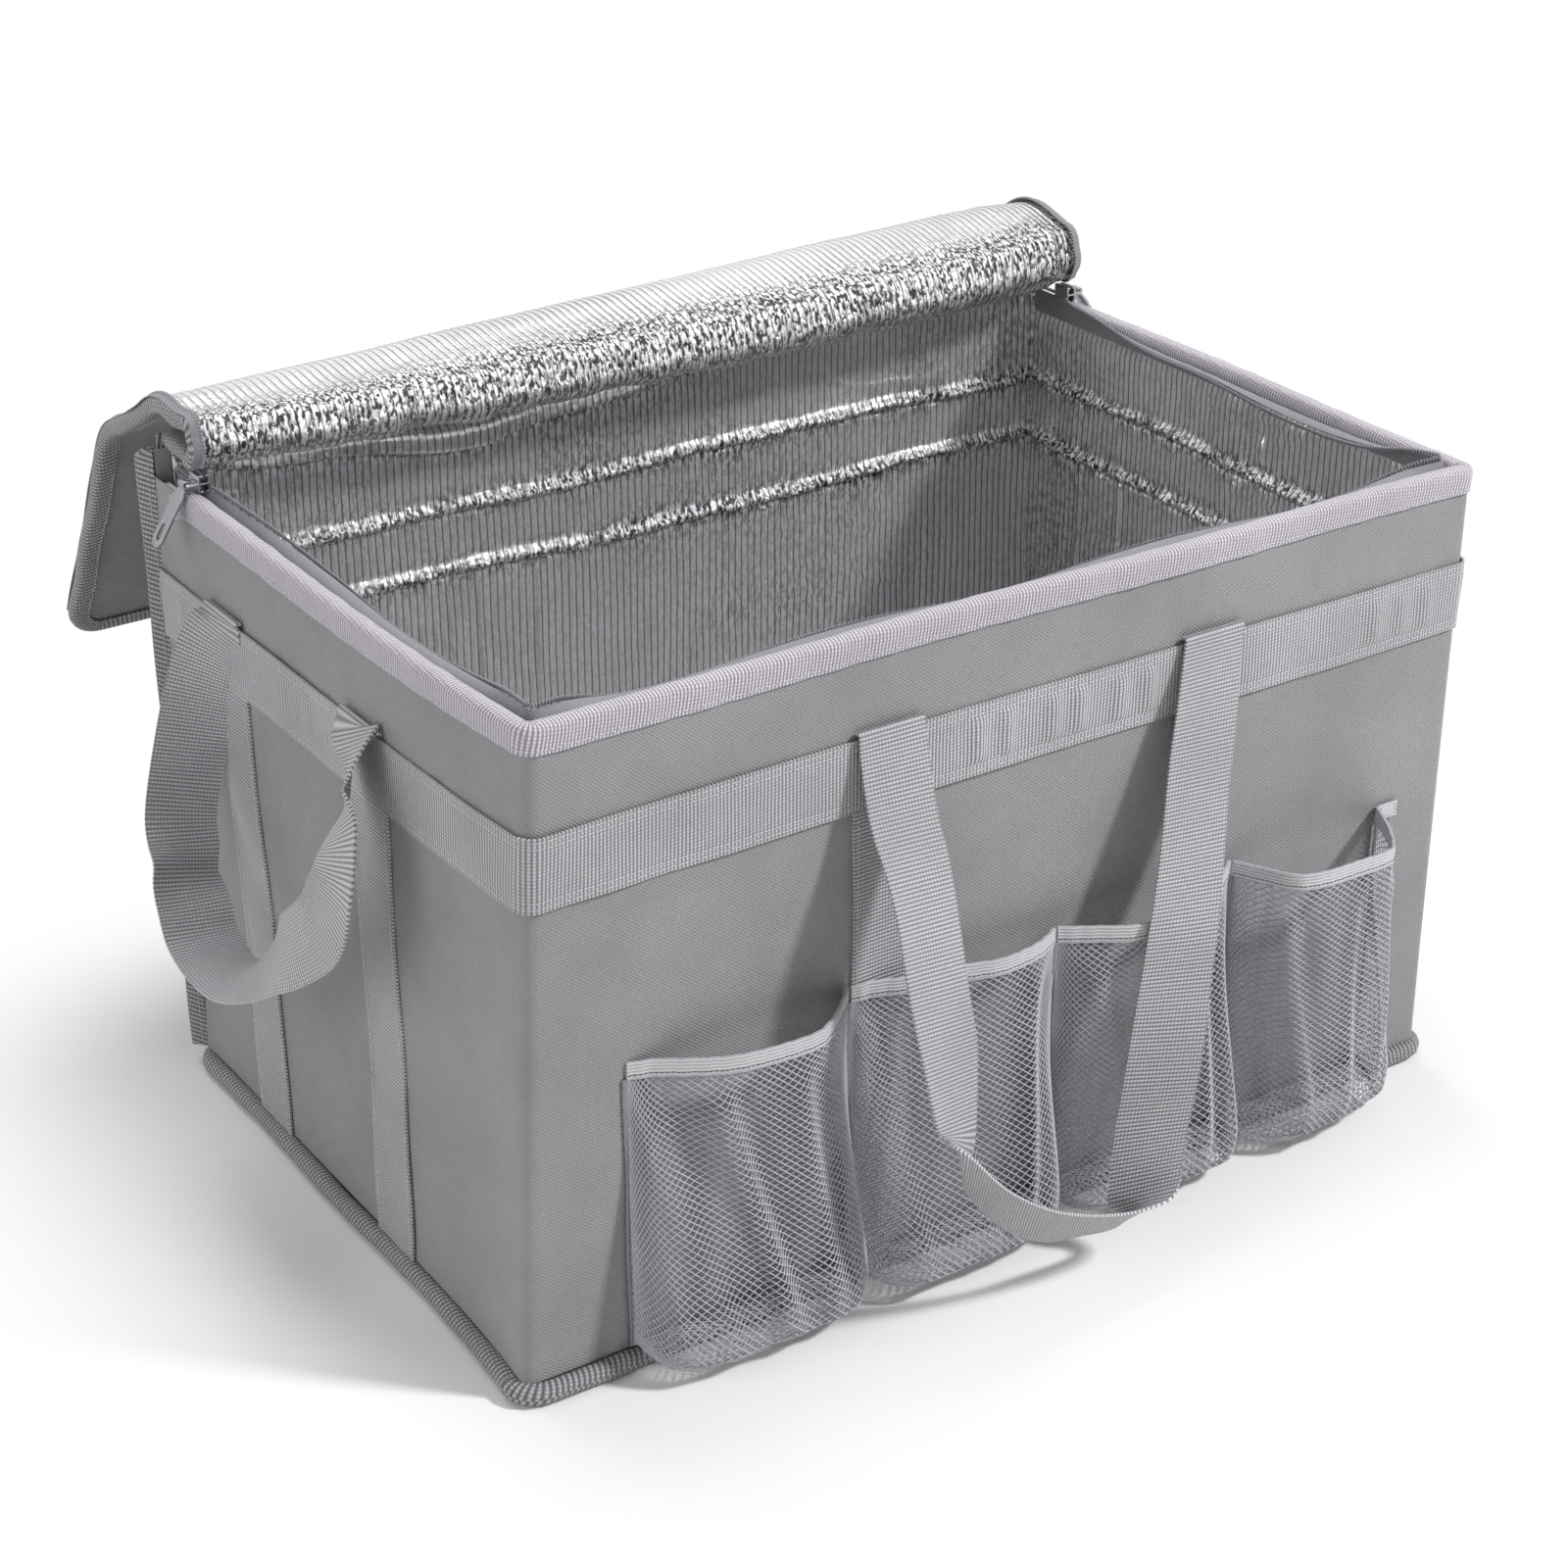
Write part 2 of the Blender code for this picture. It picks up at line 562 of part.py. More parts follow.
def build_handle(name, shares, roots, drop, lean, place):
    """One carrying loop. Its local X runs between the roots, local Y points out and Z up.

    place is the matrix that puts the loop's pivot on the band's upper edge.
    """
    first, last = roots
    hang = [(first + (last - first) * along, drop * down) for along, down in shares]
    line = smooth_line([(x, s, 0) for x, s in hang], HANDLE_STEPS)
    out, down = Vector((0, sin(lean), -cos(lean))), Vector((0, cos(lean), sin(lean)))
    front = Vector((0, HANDLE_ROOT_RADIUS, 0))
    half = WEBBING_WIDTH / 2
    rows = []
    root = root_ring()
    for ring in root:
        rows.append([ring + Vector((first - half, 0, 0)), ring + Vector((first + half, 0, 0))])
    for i, point in enumerate(line):
        ahead, behind = line[min(i + 1, HANDLE_STEPS)], line[max(i - 1, 0)]
        run = (ahead - behind).normalized()
        side = Vector((run.y, -run.x))
        if i in (0, HANDLE_STEPS):
            side = Vector((1 if i == 0 else -1, 0))
        turn = handle_turn(i / HANDLE_STEPS)
        centre = front + Vector((point.x, 0, 0)) + out * point.y
        across = (Vector((side.x, 0, 0)) + out * side.y) * cos(turn) + down * sin(turn)
        rows.append([centre - across * half, centre + across * half])
    for ring in reversed(root):
        rows.append([ring + Vector((last + half, 0, 0)), ring + Vector((last - half, 0, 0))])
    sheet(name, rows, HANDLE_WEBBING, "webbing", matrix=place, origin=place.translation)


def build_handles():
    """Two long handles on the front and back, and two short ones on the ends."""
    out = HANDLE_PIVOT_OUT
    z = HANDLE_PIVOT_Z
    front = Matrix.Translation((0, -HALF_DEPTH - out, z)) @ Matrix.Diagonal((1, -1, 1, 1))
    back = Matrix.Translation((0, HALF_DEPTH + out, z))
    left = Matrix.Translation((-HALF_LENGTH - out, 0, z)) @ Matrix.Rotation(pi / 2, 4, "Z")
    right = Matrix.Diagonal((-1, 1, 1, 1)) @ left
    build_handle("handle_front", FRONT_LOOP_SHARES, FRONT_STRAP_X, FRONT_DROP, FRONT_LEAN, front)
    build_handle("handle_back", BACK_LOOP_SHARES, FRONT_STRAP_X, FRONT_DROP, BACK_LEAN, back)
    build_handle("handle_left", SIDE_LOOP_SHARES, SIDE_STRAP_Y, SIDE_DROP, SIDE_LEAN, left)
    build_handle("handle_right", SIDE_LOOP_SHARES, SIDE_STRAP_Y, SIDE_DROP, SIDE_LEAN, right)


def build_zip():
    """The body's zip tape and coil, which stand just inside the rim."""
    line = wrap_line(ZIP_LINE, ZIP_CORNER_RADIUS, RIM_END)
    root = RIM_HEIGHT - TAPE_ROOT
    curtain("body_zip_tape", line, root, BODY_COIL_Z - COIL_RADIUS - GAP, TAPE, "zip_tape")
    finish("body_zip_coil", tube_mesh(at_height(line, BODY_COIL_Z), COIL_RADIUS), "nylon_coil")


def slider_section():
    """Return half of the slider's section at +X: a plate, two flanges and half of the divider."""
    slot = TAPE / 2 + SLIDER_CLEARANCE
    top = SLIDER_HALF_HEIGHT
    lip = top - SLIDER_FLANGE
    web = COIL_GAP / 2 - SLIDER_CLEARANCE
    return [(0, -web), (SLIDER_INNER, -web), (SLIDER_INNER, -lip), (slot, -lip), (slot, -top),
            (SLIDER_OUTER, -top), (SLIDER_OUTER, top), (slot, top), (slot, lip),
            (SLIDER_INNER, lip), (SLIDER_INNER, web), (0, web)]


def build_sliders():
    """A slider at each back corner, with a bail on its outer plate and a pull that hangs from it."""
    for side, name in ((-1, "left"), (1, "right")):
        centre = Vector((side * (HALF_LENGTH - ZIP_LINE), SLIDER_REST_Y, SLIDER_Z))
        half = slider_section()
        section = half + [(-x, z) for x, z in reversed(half[1:-1])]
        mesh = outline_mesh([section], SLIDER_LENGTH)
        mesh.transform(Matrix.Translation(centre) @ Matrix.Rotation(pi / 2, 4, "X"))
        slider = finish(f"slider_{name}", mesh, "cast_zinc", origin=centre)

        root = side * (SLIDER_OUTER - SLIDER_PLATE / 2)
        reach = side * (SLIDER_OUTER + BAIL_REACH)
        foot = BAIL_LENGTH / 2
        bend = BAIL_RADIUS
        bail = [(root, -foot, 0), (reach - side * bend, -foot, 0), (reach, -foot + bend, 0),
                (reach, foot - bend, 0), (reach - side * bend, foot, 0), (root, foot, 0)]
        boolean(slider, cutter_of(tube_mesh(bail, BAIL_RADIUS), Matrix.Translation(centre)), "UNION")
        build_pull(f"pull_{name}", side, centre + Vector((reach, 0, 0)))


def build_pull(name, side, pivot):
    """A pull whose barrel turns on the slider's bail, resting against the rim's binding."""
    r = PULL_WIDTH / 2
    end = -PULL_LENGTH + r
    body = arc((0, end), r, pi, 2 * pi, 2 * CORNER_STEPS)
    neck = PULL_BARREL_LENGTH / 2
    shoulder = -2 * PULL_BARREL_RADIUS - r / 2
    body += [(r, shoulder), (neck, -PULL_BARREL_RADIUS), (neck, 0), (-neck, 0), (-neck, -PULL_BARREL_RADIUS),
             (-r, shoulder)]
    slot = PULL_SLOT_WIDTH / 2
    low = -PULL_LENGTH + PULL_SLOT_END + slot
    high = low + PULL_SLOT_LENGTH - PULL_SLOT_WIDTH
    hole = arc((0, low), slot, pi, 2 * pi, CORNER_STEPS) + arc((0, high), slot, 0, pi, CORNER_STEPS)
    mesh = outline_mesh([body, hole], PULL_THICK)
    upright = Matrix.Rotation(pi / 2, 4, "X")
    mesh.transform(Matrix.Rotation(pi / 2, 4, "Z") @ upright)
    lean = Matrix.Rotation(side * -PULL_LEAN, 4, "Y")
    mesh.transform(Matrix.Translation(pivot) @ lean)
    pull = finish(name, mesh, "cast_zinc", origin=pivot)

    along = Matrix.Translation(pivot) @ lean @ Matrix.Rotation(pi / 2, 4, "X")
    length = PULL_BARREL_LENGTH
    boolean(pull, cutter_of(rod_mesh(PULL_BARREL_RADIUS, length), along), "UNION")
    bore = BAIL_RADIUS + PULL_BORE_CLEARANCE
    boolean(pull, cutter_of(rod_mesh(bore, 2 * length), along), "DIFFERENCE")


def rod_mesh(radius, length):
    """Return a round bar along Z."""
    bm = bmesh.new()
    bmesh.ops.create_cone(bm, cap_ends=True, segments=16, radius1=radius, radius2=radius, depth=length)
    return mesh_from(bm, "rod")


def crease_matrices():
    """Return, for each stretch of the lid, the matrix from its closed place to its place at rest."""
    matrices = [Matrix.Identity(4)]
    for crease, fold in zip(LID_CREASES, LID_FOLDS):
        pivot = Vector((0, HALF_DEPTH - crease, LID_TOP))
        turn = Matrix.Translation(pivot) @ Matrix.Rotation(-fold, 4, "X") @ Matrix.Translation(-pivot)
        matrices.append(matrices[-1] @ turn)
    return matrices


def lid_line(inset, radius, back):
    """Return the plan line along the lid's left, front and right edges, inset from them."""
    x = LID_HALF_WIDTH - inset
    y = LID_REACH - HALF_DEPTH - inset
    left = arc((-x + radius, -y + radius), radius, pi, 1.5 * pi, CORNER_STEPS)
    right = arc((x - radius, -y + radius), radius, 1.5 * pi, 2 * pi, CORNER_STEPS)
    return [(-x, back)] + left + right + [(x, back)]


def lid_plate(name, inset, foot, thick, back, material, matrix, origin):
    """One flat sheet of the lid's long panel, with its two front corners rounded."""
    line = lid_line(inset, LID_CORNER_RADIUS - inset, back)
    mesh = outline_mesh([line], thick)
    mesh.transform(matrix @ Matrix.Translation((0, 0, foot + thick / 2)))
    finish(name, mesh, material, origin)


def build_lid():
    """The lid: a sewn-down root, four short stretches that roll over, and the long panel with its zip."""
    matrices = crease_matrices()
    edges = (0.0,) + LID_CREASES
    for k in range(len(LID_CREASES)):
        front = HALF_DEPTH - edges[k + 1] + GAP / 2
        back = HALF_DEPTH - edges[k] - (GAP / 2 if k else 0)
        pivot = matrices[k] @ Vector((0, HALF_DEPTH - edges[k], LID_TOP))
        name = "lid_root" if k == 0 else f"lid_roll_{k}"
        block(name, (-LID_HALF_WIDTH, front, LID_UNDER), (LID_HALF_WIDTH, back, LID_TOP),
              "foil_liner", matrices[k], pivot)

    matrix = matrices[-1]
    pivot = matrix @ Vector((0, HALF_DEPTH - LID_CREASES[-1], LID_TOP))
    back = HALF_DEPTH - LID_CREASES[-1] - GAP / 2
    skin = BINDING + GAP
    foam = LID_UNDER + FOIL + GAP
    cover = foam + WALL_FOAM + GAP
    lid_plate("lid_foil", skin, LID_UNDER, FOIL, back, "foil_liner", matrix, pivot)
    lid_plate("lid_foam", skin, foam, WALL_FOAM, back, "closed_cell_foam", matrix, pivot)
    lid_plate("lid_cover", skin, cover, FABRIC, back, "oxford_fabric", matrix, pivot)

    half = BINDING / 2
    rows = []
    for inset, z in ((LID_BINDING_WIDTH, LID_TOP + GAP + half), (half, LID_TOP + GAP + half),
                     (half, LID_UNDER - GAP - half), (LID_BINDING_WIDTH, LID_UNDER - GAP - half)):
        rows.append(at_height(lid_line(inset, LID_CORNER_RADIUS - inset, back), z))
    sheet("lid_binding", rows, BINDING, "grosgrain_binding", matrix=matrix, origin=pivot)

    line = wrap_line(ZIP_LINE, ZIP_CORNER_RADIUS, back)
    top = LID_UNDER - GAP - BINDING - GAP
    tape = [at_height(line, LID_COIL_Z + COIL_RADIUS + GAP), at_height(line, top)]
    sheet("lid_zip_tape", tape, TAPE, "zip_tape", matrix=matrix, origin=pivot)
    coil = tube_mesh(at_height(line, LID_COIL_Z), COIL_RADIUS)
    coil.transform(matrix)
    finish("lid_zip_coil", coil, "nylon_coil", origin=pivot)


clear_scene()
BAG = new_collection("cooler_bag")
CUTTERS = new_collection("cutters")
build_base()
build_walls()
build_bindings()
build_webbing()
build_pockets()
build_handles()
build_zip()
build_sliders()
build_lid()
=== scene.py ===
"""Looks of an insulated bag: cloth, webbing, net pockets, foil liner and rolled-back lid over its CAD.

Everything is in metres in the CAD's own frame: the origin is the centre of the base, +X runs along
the bag's long side, the pocketed front faces -Y and +Z is up.
"""
import logging
import math
from dataclasses import dataclass, field
from enum import Enum
from typing import Callable, Optional, Sequence

import bmesh
import bpy
import numpy as np
from mathutils import Matrix, Vector


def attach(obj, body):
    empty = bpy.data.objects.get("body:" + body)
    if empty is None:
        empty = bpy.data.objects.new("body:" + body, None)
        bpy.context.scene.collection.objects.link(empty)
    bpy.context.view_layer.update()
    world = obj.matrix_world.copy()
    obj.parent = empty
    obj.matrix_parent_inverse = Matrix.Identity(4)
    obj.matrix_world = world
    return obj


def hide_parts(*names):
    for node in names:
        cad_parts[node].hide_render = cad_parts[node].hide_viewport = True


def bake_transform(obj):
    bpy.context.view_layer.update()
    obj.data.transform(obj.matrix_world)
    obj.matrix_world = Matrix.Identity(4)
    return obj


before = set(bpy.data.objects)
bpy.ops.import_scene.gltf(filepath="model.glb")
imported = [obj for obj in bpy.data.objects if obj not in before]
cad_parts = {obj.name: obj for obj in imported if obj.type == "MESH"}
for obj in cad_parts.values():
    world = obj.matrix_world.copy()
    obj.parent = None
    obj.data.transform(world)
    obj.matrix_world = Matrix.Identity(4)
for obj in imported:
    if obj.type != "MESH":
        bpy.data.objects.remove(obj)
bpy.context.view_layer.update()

log = logging.getLogger("cooler_bag")
Array = np.ndarray
Place = Callable[[Array, Array], Array]

MM = 0.001
FOIL_RIB = 0.0046
COIL_PITCH = 0.0019
TAPE_THICK = 0.0006

# The wall: half sizes, rim height and the plan radius of the two front corners
HALF_LENGTH = 0.292
HALF_DEPTH = 0.189
RIM = 0.360
BASE_TOP = 0.0106
CORNER = 0.0080
SIDE_RUN = 2 * HALF_DEPTH - CORNER
CORNER_RUN = CORNER * math.pi / 2
FRONT_RUN = 2 * (HALF_LENGTH - CORNER)
TURNS = tuple(np.cumsum([0.0, SIDE_RUN, CORNER_RUN, FRONT_RUN, CORNER_RUN, SIDE_RUN]))
BAND_FOOT, BAND_TOP = 0.269, 0.307
BACK_TOP = 0.3734
WEBBING_HALF = 0.019
FRONT_STRAPS = (-0.088, 0.112)
SIDE_STRAPS = (-0.047, 0.107)
ZIP_IN = 0.009


class Body(str, Enum):
    """The CAD bodies that pieces ride on."""

    BAG = "bag"
    ROLL_1 = "lid_roll_1"
    ROLL_2 = "lid_roll_2"
    ROLL_3 = "lid_roll_3"
    ROLL_4 = "lid_roll_4"
    LID = "lid_panel"


class Side(Enum):
    """The two ends of the bag."""

    LEFT = -1
    RIGHT = 1

    @property
    def label(self) -> str:
        """Return the word that stands in its pieces' names."""
        return self.name.lower()


# ---------------------------------------------------------------- finishes


def linear(code: str) -> tuple[float, float, float, float]:
    """Turn an sRGB hex colour into linear RGBA.

    Args:
        code: six hex digits.

    Returns:
        The linear colour with an alpha of 1.
    """
    channels = [int(code[i:i + 2], 16) / 255 for i in (0, 2, 4)]
    return (*(c / 12.92 if c <= 0.04045 else ((c + 0.055) / 1.055) ** 2.4 for c in channels), 1.0)


def add(tree: bpy.types.NodeTree, kind: str, settings: Optional[dict] = None,
        **links: bpy.types.NodeSocket) -> bpy.types.Node:
    """Add a node.

    Args:
        tree: the material's node tree.
        kind: the node's type, without the ShaderNode at its front.
        settings: values of its inputs, by name or number, or of its properties.
        links: sockets that feed its inputs, with _ for a space and a leading i for a number.

    Returns:
        The new node.
    """
    made = tree.nodes.new("ShaderNode" + kind)
    for key, value in (settings or {}).items():
        if isinstance(key, int) or key in made.inputs:
            made.inputs[key].default_value = value
        else:
            setattr(made, key, value)
    for key, socket in links.items():
        slot = int(key[1:]) if key[1:].isdigit() else key.replace("_", " ")
        tree.links.new(socket, made.inputs[slot])
    return made


def reckon(tree: bpy.types.NodeTree, first: bpy.types.NodeSocket, second: bpy.types.NodeSocket,
           operation: str = "MULTIPLY") -> bpy.types.NodeSocket:
    """Return the product, or another outcome, of two sockets."""
    return add(tree, "Math", {"operation": operation}, i0=first, i1=second).outputs[0]


def ranged(tree: bpy.types.NodeTree, value: bpy.types.NodeSocket, old: tuple[float, float],
           new: tuple[float, float]) -> bpy.types.NodeSocket:
    """Return a socket's value brought from one range to another."""
    settings = {"From Min": old[0], "From Max": old[1], "To Min": new[0], "To Max": new[1]}
    return add(tree, "MapRange", settings, Value=value).outputs[0]


def ridges(tree: bpy.types.NodeTree, axis: str, pitch: float,
           where: bpy.types.NodeSocket) -> bpy.types.NodeSocket:
    """Return ridges that repeat at a pitch in metres along an axis of a map."""
    scale = 2 * math.pi / (20 * pitch)
    return add(tree, "TexWave", {"bands_direction": axis, "Scale": scale}, Vector=where).outputs["Fac"]


@dataclass(frozen=True)
class Finish:
    """A real material: its slot in the record, its colours and how its surface was made.

    rib and thread are the pitches in metres of the ridges along and across the piece's own UV map. groove
    is the share of a ridge's height over which its foot is dark, partly the weave's own look and partly
    painted shade, and weave is how deep the threads cut into the ribs. A crinkled finish is crinkled, and
    darkened in painted dark reflection flecks, as far as the piece's attribute "crumple" says.
    """

    name: str
    slot: str
    colour: str
    dark: str
    roughness: float = 0.8
    metallic: float = 0.0
    rib: float = 0.0
    thread: float = 0.0
    turn: float = 0.0
    depth: float = 0.0002
    crinkle: float = 0.0
    crinkle_depth: float = 0.0
    sheen: float = 0.0
    mottle: float = 0.35
    contrast: float = 0.6
    groove: float = 1.0
    weave: float = 1.0

    def material(self) -> bpy.types.Material:
        """Return the node material, made once.

        Returns:
            The material.
        """
        found = bpy.data.materials.get(self.name)
        if found:
            return found
        made = bpy.data.materials.new(self.name)
        made.use_nodes = True
        tree = made.node_tree
        shader = tree.nodes["Principled BSDF"]
        shader.inputs["Metallic"].default_value = self.metallic
        shader.inputs["Sheen Weight"].default_value = self.sheen
        where = add(tree, "TexCoord").outputs
        base = where["Object"]
        cloud = add(tree, "TexNoise", {"Scale": 14.0, "Detail": 3.0, "Roughness": 0.6},
                    Vector=base).outputs["Fac"]
        speck = add(tree, "TexNoise", {"Scale": 900.0, "Detail": 2.0}, Vector=base).outputs["Fac"]
        tone = ranged(tree, cloud, (0.3, 0.7), (1 - self.mottle, 1.0))
        grain = ranged(tree, speck, (0.25, 0.75), (0.74, 1.0))
        shade = reckon(tree, tone, grain)
        height = speck
        if self.rib:
            turned = add(tree, "Mapping", {"Rotation": (0.0, 0.0, self.turn)}, Vector=where["UV"]).outputs[0]
            height = ridges(tree, "X", self.rib, turned)
            if self.thread:
                threads = ridges(tree, "Y", self.thread, turned)
                height = reckon(tree, height, ranged(tree, threads, (0.0, 1.0), (1 - self.weave, 1.0)))
            # The ribs' and threads' feet are mixed toward the dark colour: partly the weave's own look,
            # partly painted shade in the grooves
            shade = reckon(tree, shade, ranged(tree, height, (0.0, self.groove), (self.contrast, 1.0)))
        bump = add(tree, "Bump", {"Strength": 1.0, "Distance": self.depth}, Height=height).outputs[0]
        if self.crinkle:
            # The crumple share sets the crinkle bump and also where the foil is painted with dark reflections
            worn = add(tree, "Attribute", {"attribute_name": "crumple"}).outputs["Fac"]
            drawn = add(tree, "Mapping", {"Scale": (2.0, 1.5, 0.8)}, Vector=base).outputs[0]
            foil = add(tree, "TexNoise", {"Scale": 1 / self.crinkle, "Detail": 4.0, "Roughness": 0.6},
                       Vector=drawn).outputs["Fac"]
            # Painted dark reflection: crumpled foil is darkened in flecks, as if it mirrored dark
            # surroundings
            painted_reflection = reckon(tree, ranged(tree, foil, (0.44, 0.53), (1.0, 0.0)), worn)
            plain = add(tree, "Math", {"operation": "SUBTRACT", 0: 1.0}, i1=painted_reflection).outputs[0]
            shade = reckon(tree, shade, plain)
            bump = add(tree, "Bump", {"Strength": 1.0, "Distance": self.crinkle_depth},
                       Height=reckon(tree, foil, worn), Normal=bump).outputs[0]
        colour = add(tree, "Mix", {"data_type": "RGBA", 6: linear(self.dark), 7: linear(self.colour)},
                     i0=shade)
        gloss = ranged(tree, cloud, (0.3, 0.7), (self.roughness * 0.85, min(1.0, self.roughness * 1.1)))
        tree.links.new(colour.outputs[2], shader.inputs["Base Color"])
        tree.links.new(bump, shader.inputs["Normal"])
        tree.links.new(gloss, shader.inputs["Roughness"])
        return made


# The ribbed finishes below darken the feet of their ribs toward their dark colour: partly the weave's own
# look, partly painted shade in the grooves
# Plain-woven 600 denier polyester: matt, with a fine even weave turned a little off the panel's edges
OXFORD = Finish("oxford_cloth", "oxford_fabric", "b3b3b6", "6a6a6d", 0.85, rib=0.0015, thread=0.0015,
                turn=math.radians(38), depth=0.00034, sheen=0.10, mottle=0.40, contrast=0.42)
# Woven polypropylene webbing: cross ribs with finer threads between, slightly glossy on the crowns; the dark
# feet between them are partly the weave's look, partly painted shade
WEBBING = Finish("woven_webbing", "webbing", "ececf0", "5c5c60", 0.58, rib=0.0021, thread=0.0018,
                 depth=0.00052, sheen=0.10, mottle=0.26, contrast=0.12, weave=0.58)
# Grosgrain tape: strong cross ribs, a pale lilac grey on the rim
RIM_TAPE = Finish("rim_grosgrain", "grosgrain_binding", "f8f3fa", "68626c", 0.60, rib=0.0020, thread=0.0018,
                  turn=math.radians(7), depth=0.00060, sheen=0.1, mottle=0.15, contrast=0.15, weave=0.50)
EDGE_TAPE = Finish("edge_tape", "grosgrain_binding", "d2d2d6", "343438", 0.70, rib=0.0028, thread=0.0021,
                   turn=math.radians(12), depth=0.00065, sheen=0.1, mottle=0.25, contrast=0.10, weave=0.50)
# Metallised film on foam: bright, crinkled by handling; its dark rib grooves are painted shade and its dark
# flecks painted dark reflections
FOIL = Finish("crinkled_foil", "foil_liner", "f4f4f6", "38383b", 0.20, metallic=0.70, rib=0.0046,
              depth=0.00035, crinkle=0.0040, crinkle_depth=0.0022, mottle=0.10, contrast=0.20, groove=0.18)
# Closed-cell polyethylene foam: matt white with fine cells
FOAM = Finish("closed_cell_foam", "closed_cell_foam", "e6e6e3", "c9c9c6", 0.9)
# Black polypropylene board
BOARD = Finish("stiffener_board", "stiffener_board", "4a4a4c", "38383a", 0.6)
# Zip tape: close smooth twill
ZIP_TAPE = Finish("zip_tape_cloth", "zip_tape", "929296", "5f5f63", 0.75, rib=0.0009, thread=0.0014,
                  turn=math.radians(45), depth=0.00012, contrast=0.60, mottle=0.15)
# Nylon coil: drawn monofilament, half gloss
COIL = Finish("nylon_monofilament", "nylon_coil", "88888c", "5a5a5e", 0.40, depth=0.00002)
# Knitted polyester net: smooth bright filament
NET = Finish("knitted_net", "pocket_mesh", "c6c6cc", "828288", 0.40, depth=0.00003)
# The same net gathered and sewn down in a seam, where its gaps are closed and in shade
NET_SEAM = Finish("gathered_net", "pocket_mesh", "8a8a8f", "5a5a5e", 0.70, depth=0.00010)
# Ribbed elastic tape
ELASTIC = Finish("ribbed_elastic", "pocket_elastic", "dcdcdf", "8c8c90", 0.72, rib=0.0018,
                 turn=math.radians(90), depth=0.00030, contrast=0.35, mottle=0.12)
# Sewing thread: twisted polyester
THREAD = Finish("sewing_thread", "webbing", "d0d0d3", "a0a0a4", 0.65, depth=0.00003)
SEAM_THREAD = Finish("seam_thread", "webbing", "3c3c40", "252528", 0.65, depth=0.00003)
# Zinc casting with a dull nickel finish
ZINC = Finish("nickelled_zinc", "cast_zinc", "a9aaad", "77787b", 0.34, metallic=1.0, depth=0.00003)

CAD_FINISHES = {"base_panel": OXFORD, "base_board": BOARD, "base_foam": FOAM}


# ---------------------------------------------------------------- shaping tools


def smoothstep(t: Array) -> Array:
    """Return the smooth rise from 0 to 1 of values clipped to 0 to 1."""
    t = np.clip(t, 0, 1)
    return t * t * (3 - 2 * t)


def hump(t: Array, centre: float, width: float) -> Array:
    """Return a bell of height 1 about a centre, with a half width in the same unit."""
    return np.exp(-((t - centre) / width) ** 2)


def fade(q: Array, start: float, stop: float, run: float) -> Array:
    """Return 1 between two places, and a smooth fall to 0 at both over a run."""
    return smoothstep((q - start) / run) * smoothstep((stop - q) / run)


def ribbed(a: Array, height: float) -> Array:
    """Return the foil's rounded ribs, with creases between them."""
    return height * np.abs(np.sin(math.pi * a / FOIL_RIB)) ** 0.8


def unit(rows: Array) -> Array:
    """Return vectors brought to a length of 1."""
    return rows / np.linalg.norm(rows, axis=1)[:, None]


def upright(up: Array, run: Array) -> Array:
    """Return unit vectors near up and square to unit vectors along a run."""
    return unit(up - run * (up * run).sum(1)[:, None])


def arc(line: Array) -> Array:
    """Return the length along a line at each of its points."""
    return np.concatenate([[0], np.cumsum(np.linalg.norm(np.diff(line, axis=0), axis=1))])


def pick(at: Array, length: Array, rows: Array) -> Array:
    """Return the rows of a line at other lengths along it."""
    return np.column_stack([np.interp(at, length, column) for column in rows.T])


def placed(x: Array, y: Array, z: Array, at: Array) -> Array:
    """Return matrices from rows of three axes and of places.

    Args:
        x: the first axis of each.
        y: the second axis.
        z: the third axis.
        at: the places.

    Returns:
        One 4 by 4 matrix to a row.
    """
    made = np.tile(np.eye(4), (len(at), 1, 1))
    made[:, :3, :] = np.stack([x, y, z, at], axis=-1)
    return made


def runs(start: float, stop: float, step: float) -> Array:
    """Return even places from start to stop, at most a step apart."""
    return np.linspace(start, stop, max(1, math.ceil(abs(stop - start) / step)) + 1)


class Crumple:
    """Smooth seeded noise over two lengths, for folds, dents and crinkles."""

    CELLS = 64

    def __init__(self, seed: int, scale: float, octaves: int = 2) -> None:
        """Keep a seeded lattice.

        Args:
            seed: which crumple.
            scale: the size in metres of its largest dents.
            octaves: how many times finer dents are added.
        """
        self._lattice = np.random.default_rng(seed).uniform(-1, 1, (self.CELLS, self.CELLS))
        self._scale = scale
        self._octaves = octaves

    def __call__(self, a: Array, b: Array) -> Array:
        """Return the crumple's height.

        Args:
            a: first coordinates, in metres.
            b: second coordinates, in metres.

        Returns:
            Heights of about -1 to 1.
        """
        total, weight, size = 0.0, 1.0, self._scale
        for octave in range(self._octaves):
            x, y = np.asarray(a) / size + 17.3 * octave, np.asarray(b) / size + 9.1 * octave
            i, j = np.floor(x).astype(int), np.floor(y).astype(int)
            u, v = smoothstep(x - i), smoothstep(y - j)
            i, j = i % self.CELLS, j % self.CELLS
            k, m = (i + 1) % self.CELLS, (j + 1) % self.CELLS
            low = self._lattice[i, j] * (1 - u) + self._lattice[k, j] * u
            high = self._lattice[i, m] * (1 - u) + self._lattice[k, m] * u
            total = total + weight * (low * (1 - v) + high * v)
            weight, size = weight / 2, size / 2
        return total


def mesh_of(name: str, bm: bmesh.types.BMesh) -> bpy.types.Mesh:
    """Return a new mesh from a bmesh, which is freed.

    Args:
        name: the mesh's name.
        bm: the bmesh to turn into it.

    Returns:
        The mesh.
    """
    mesh = bpy.data.meshes.new(name)
    bm.to_mesh(mesh)
    bm.free()
    return mesh


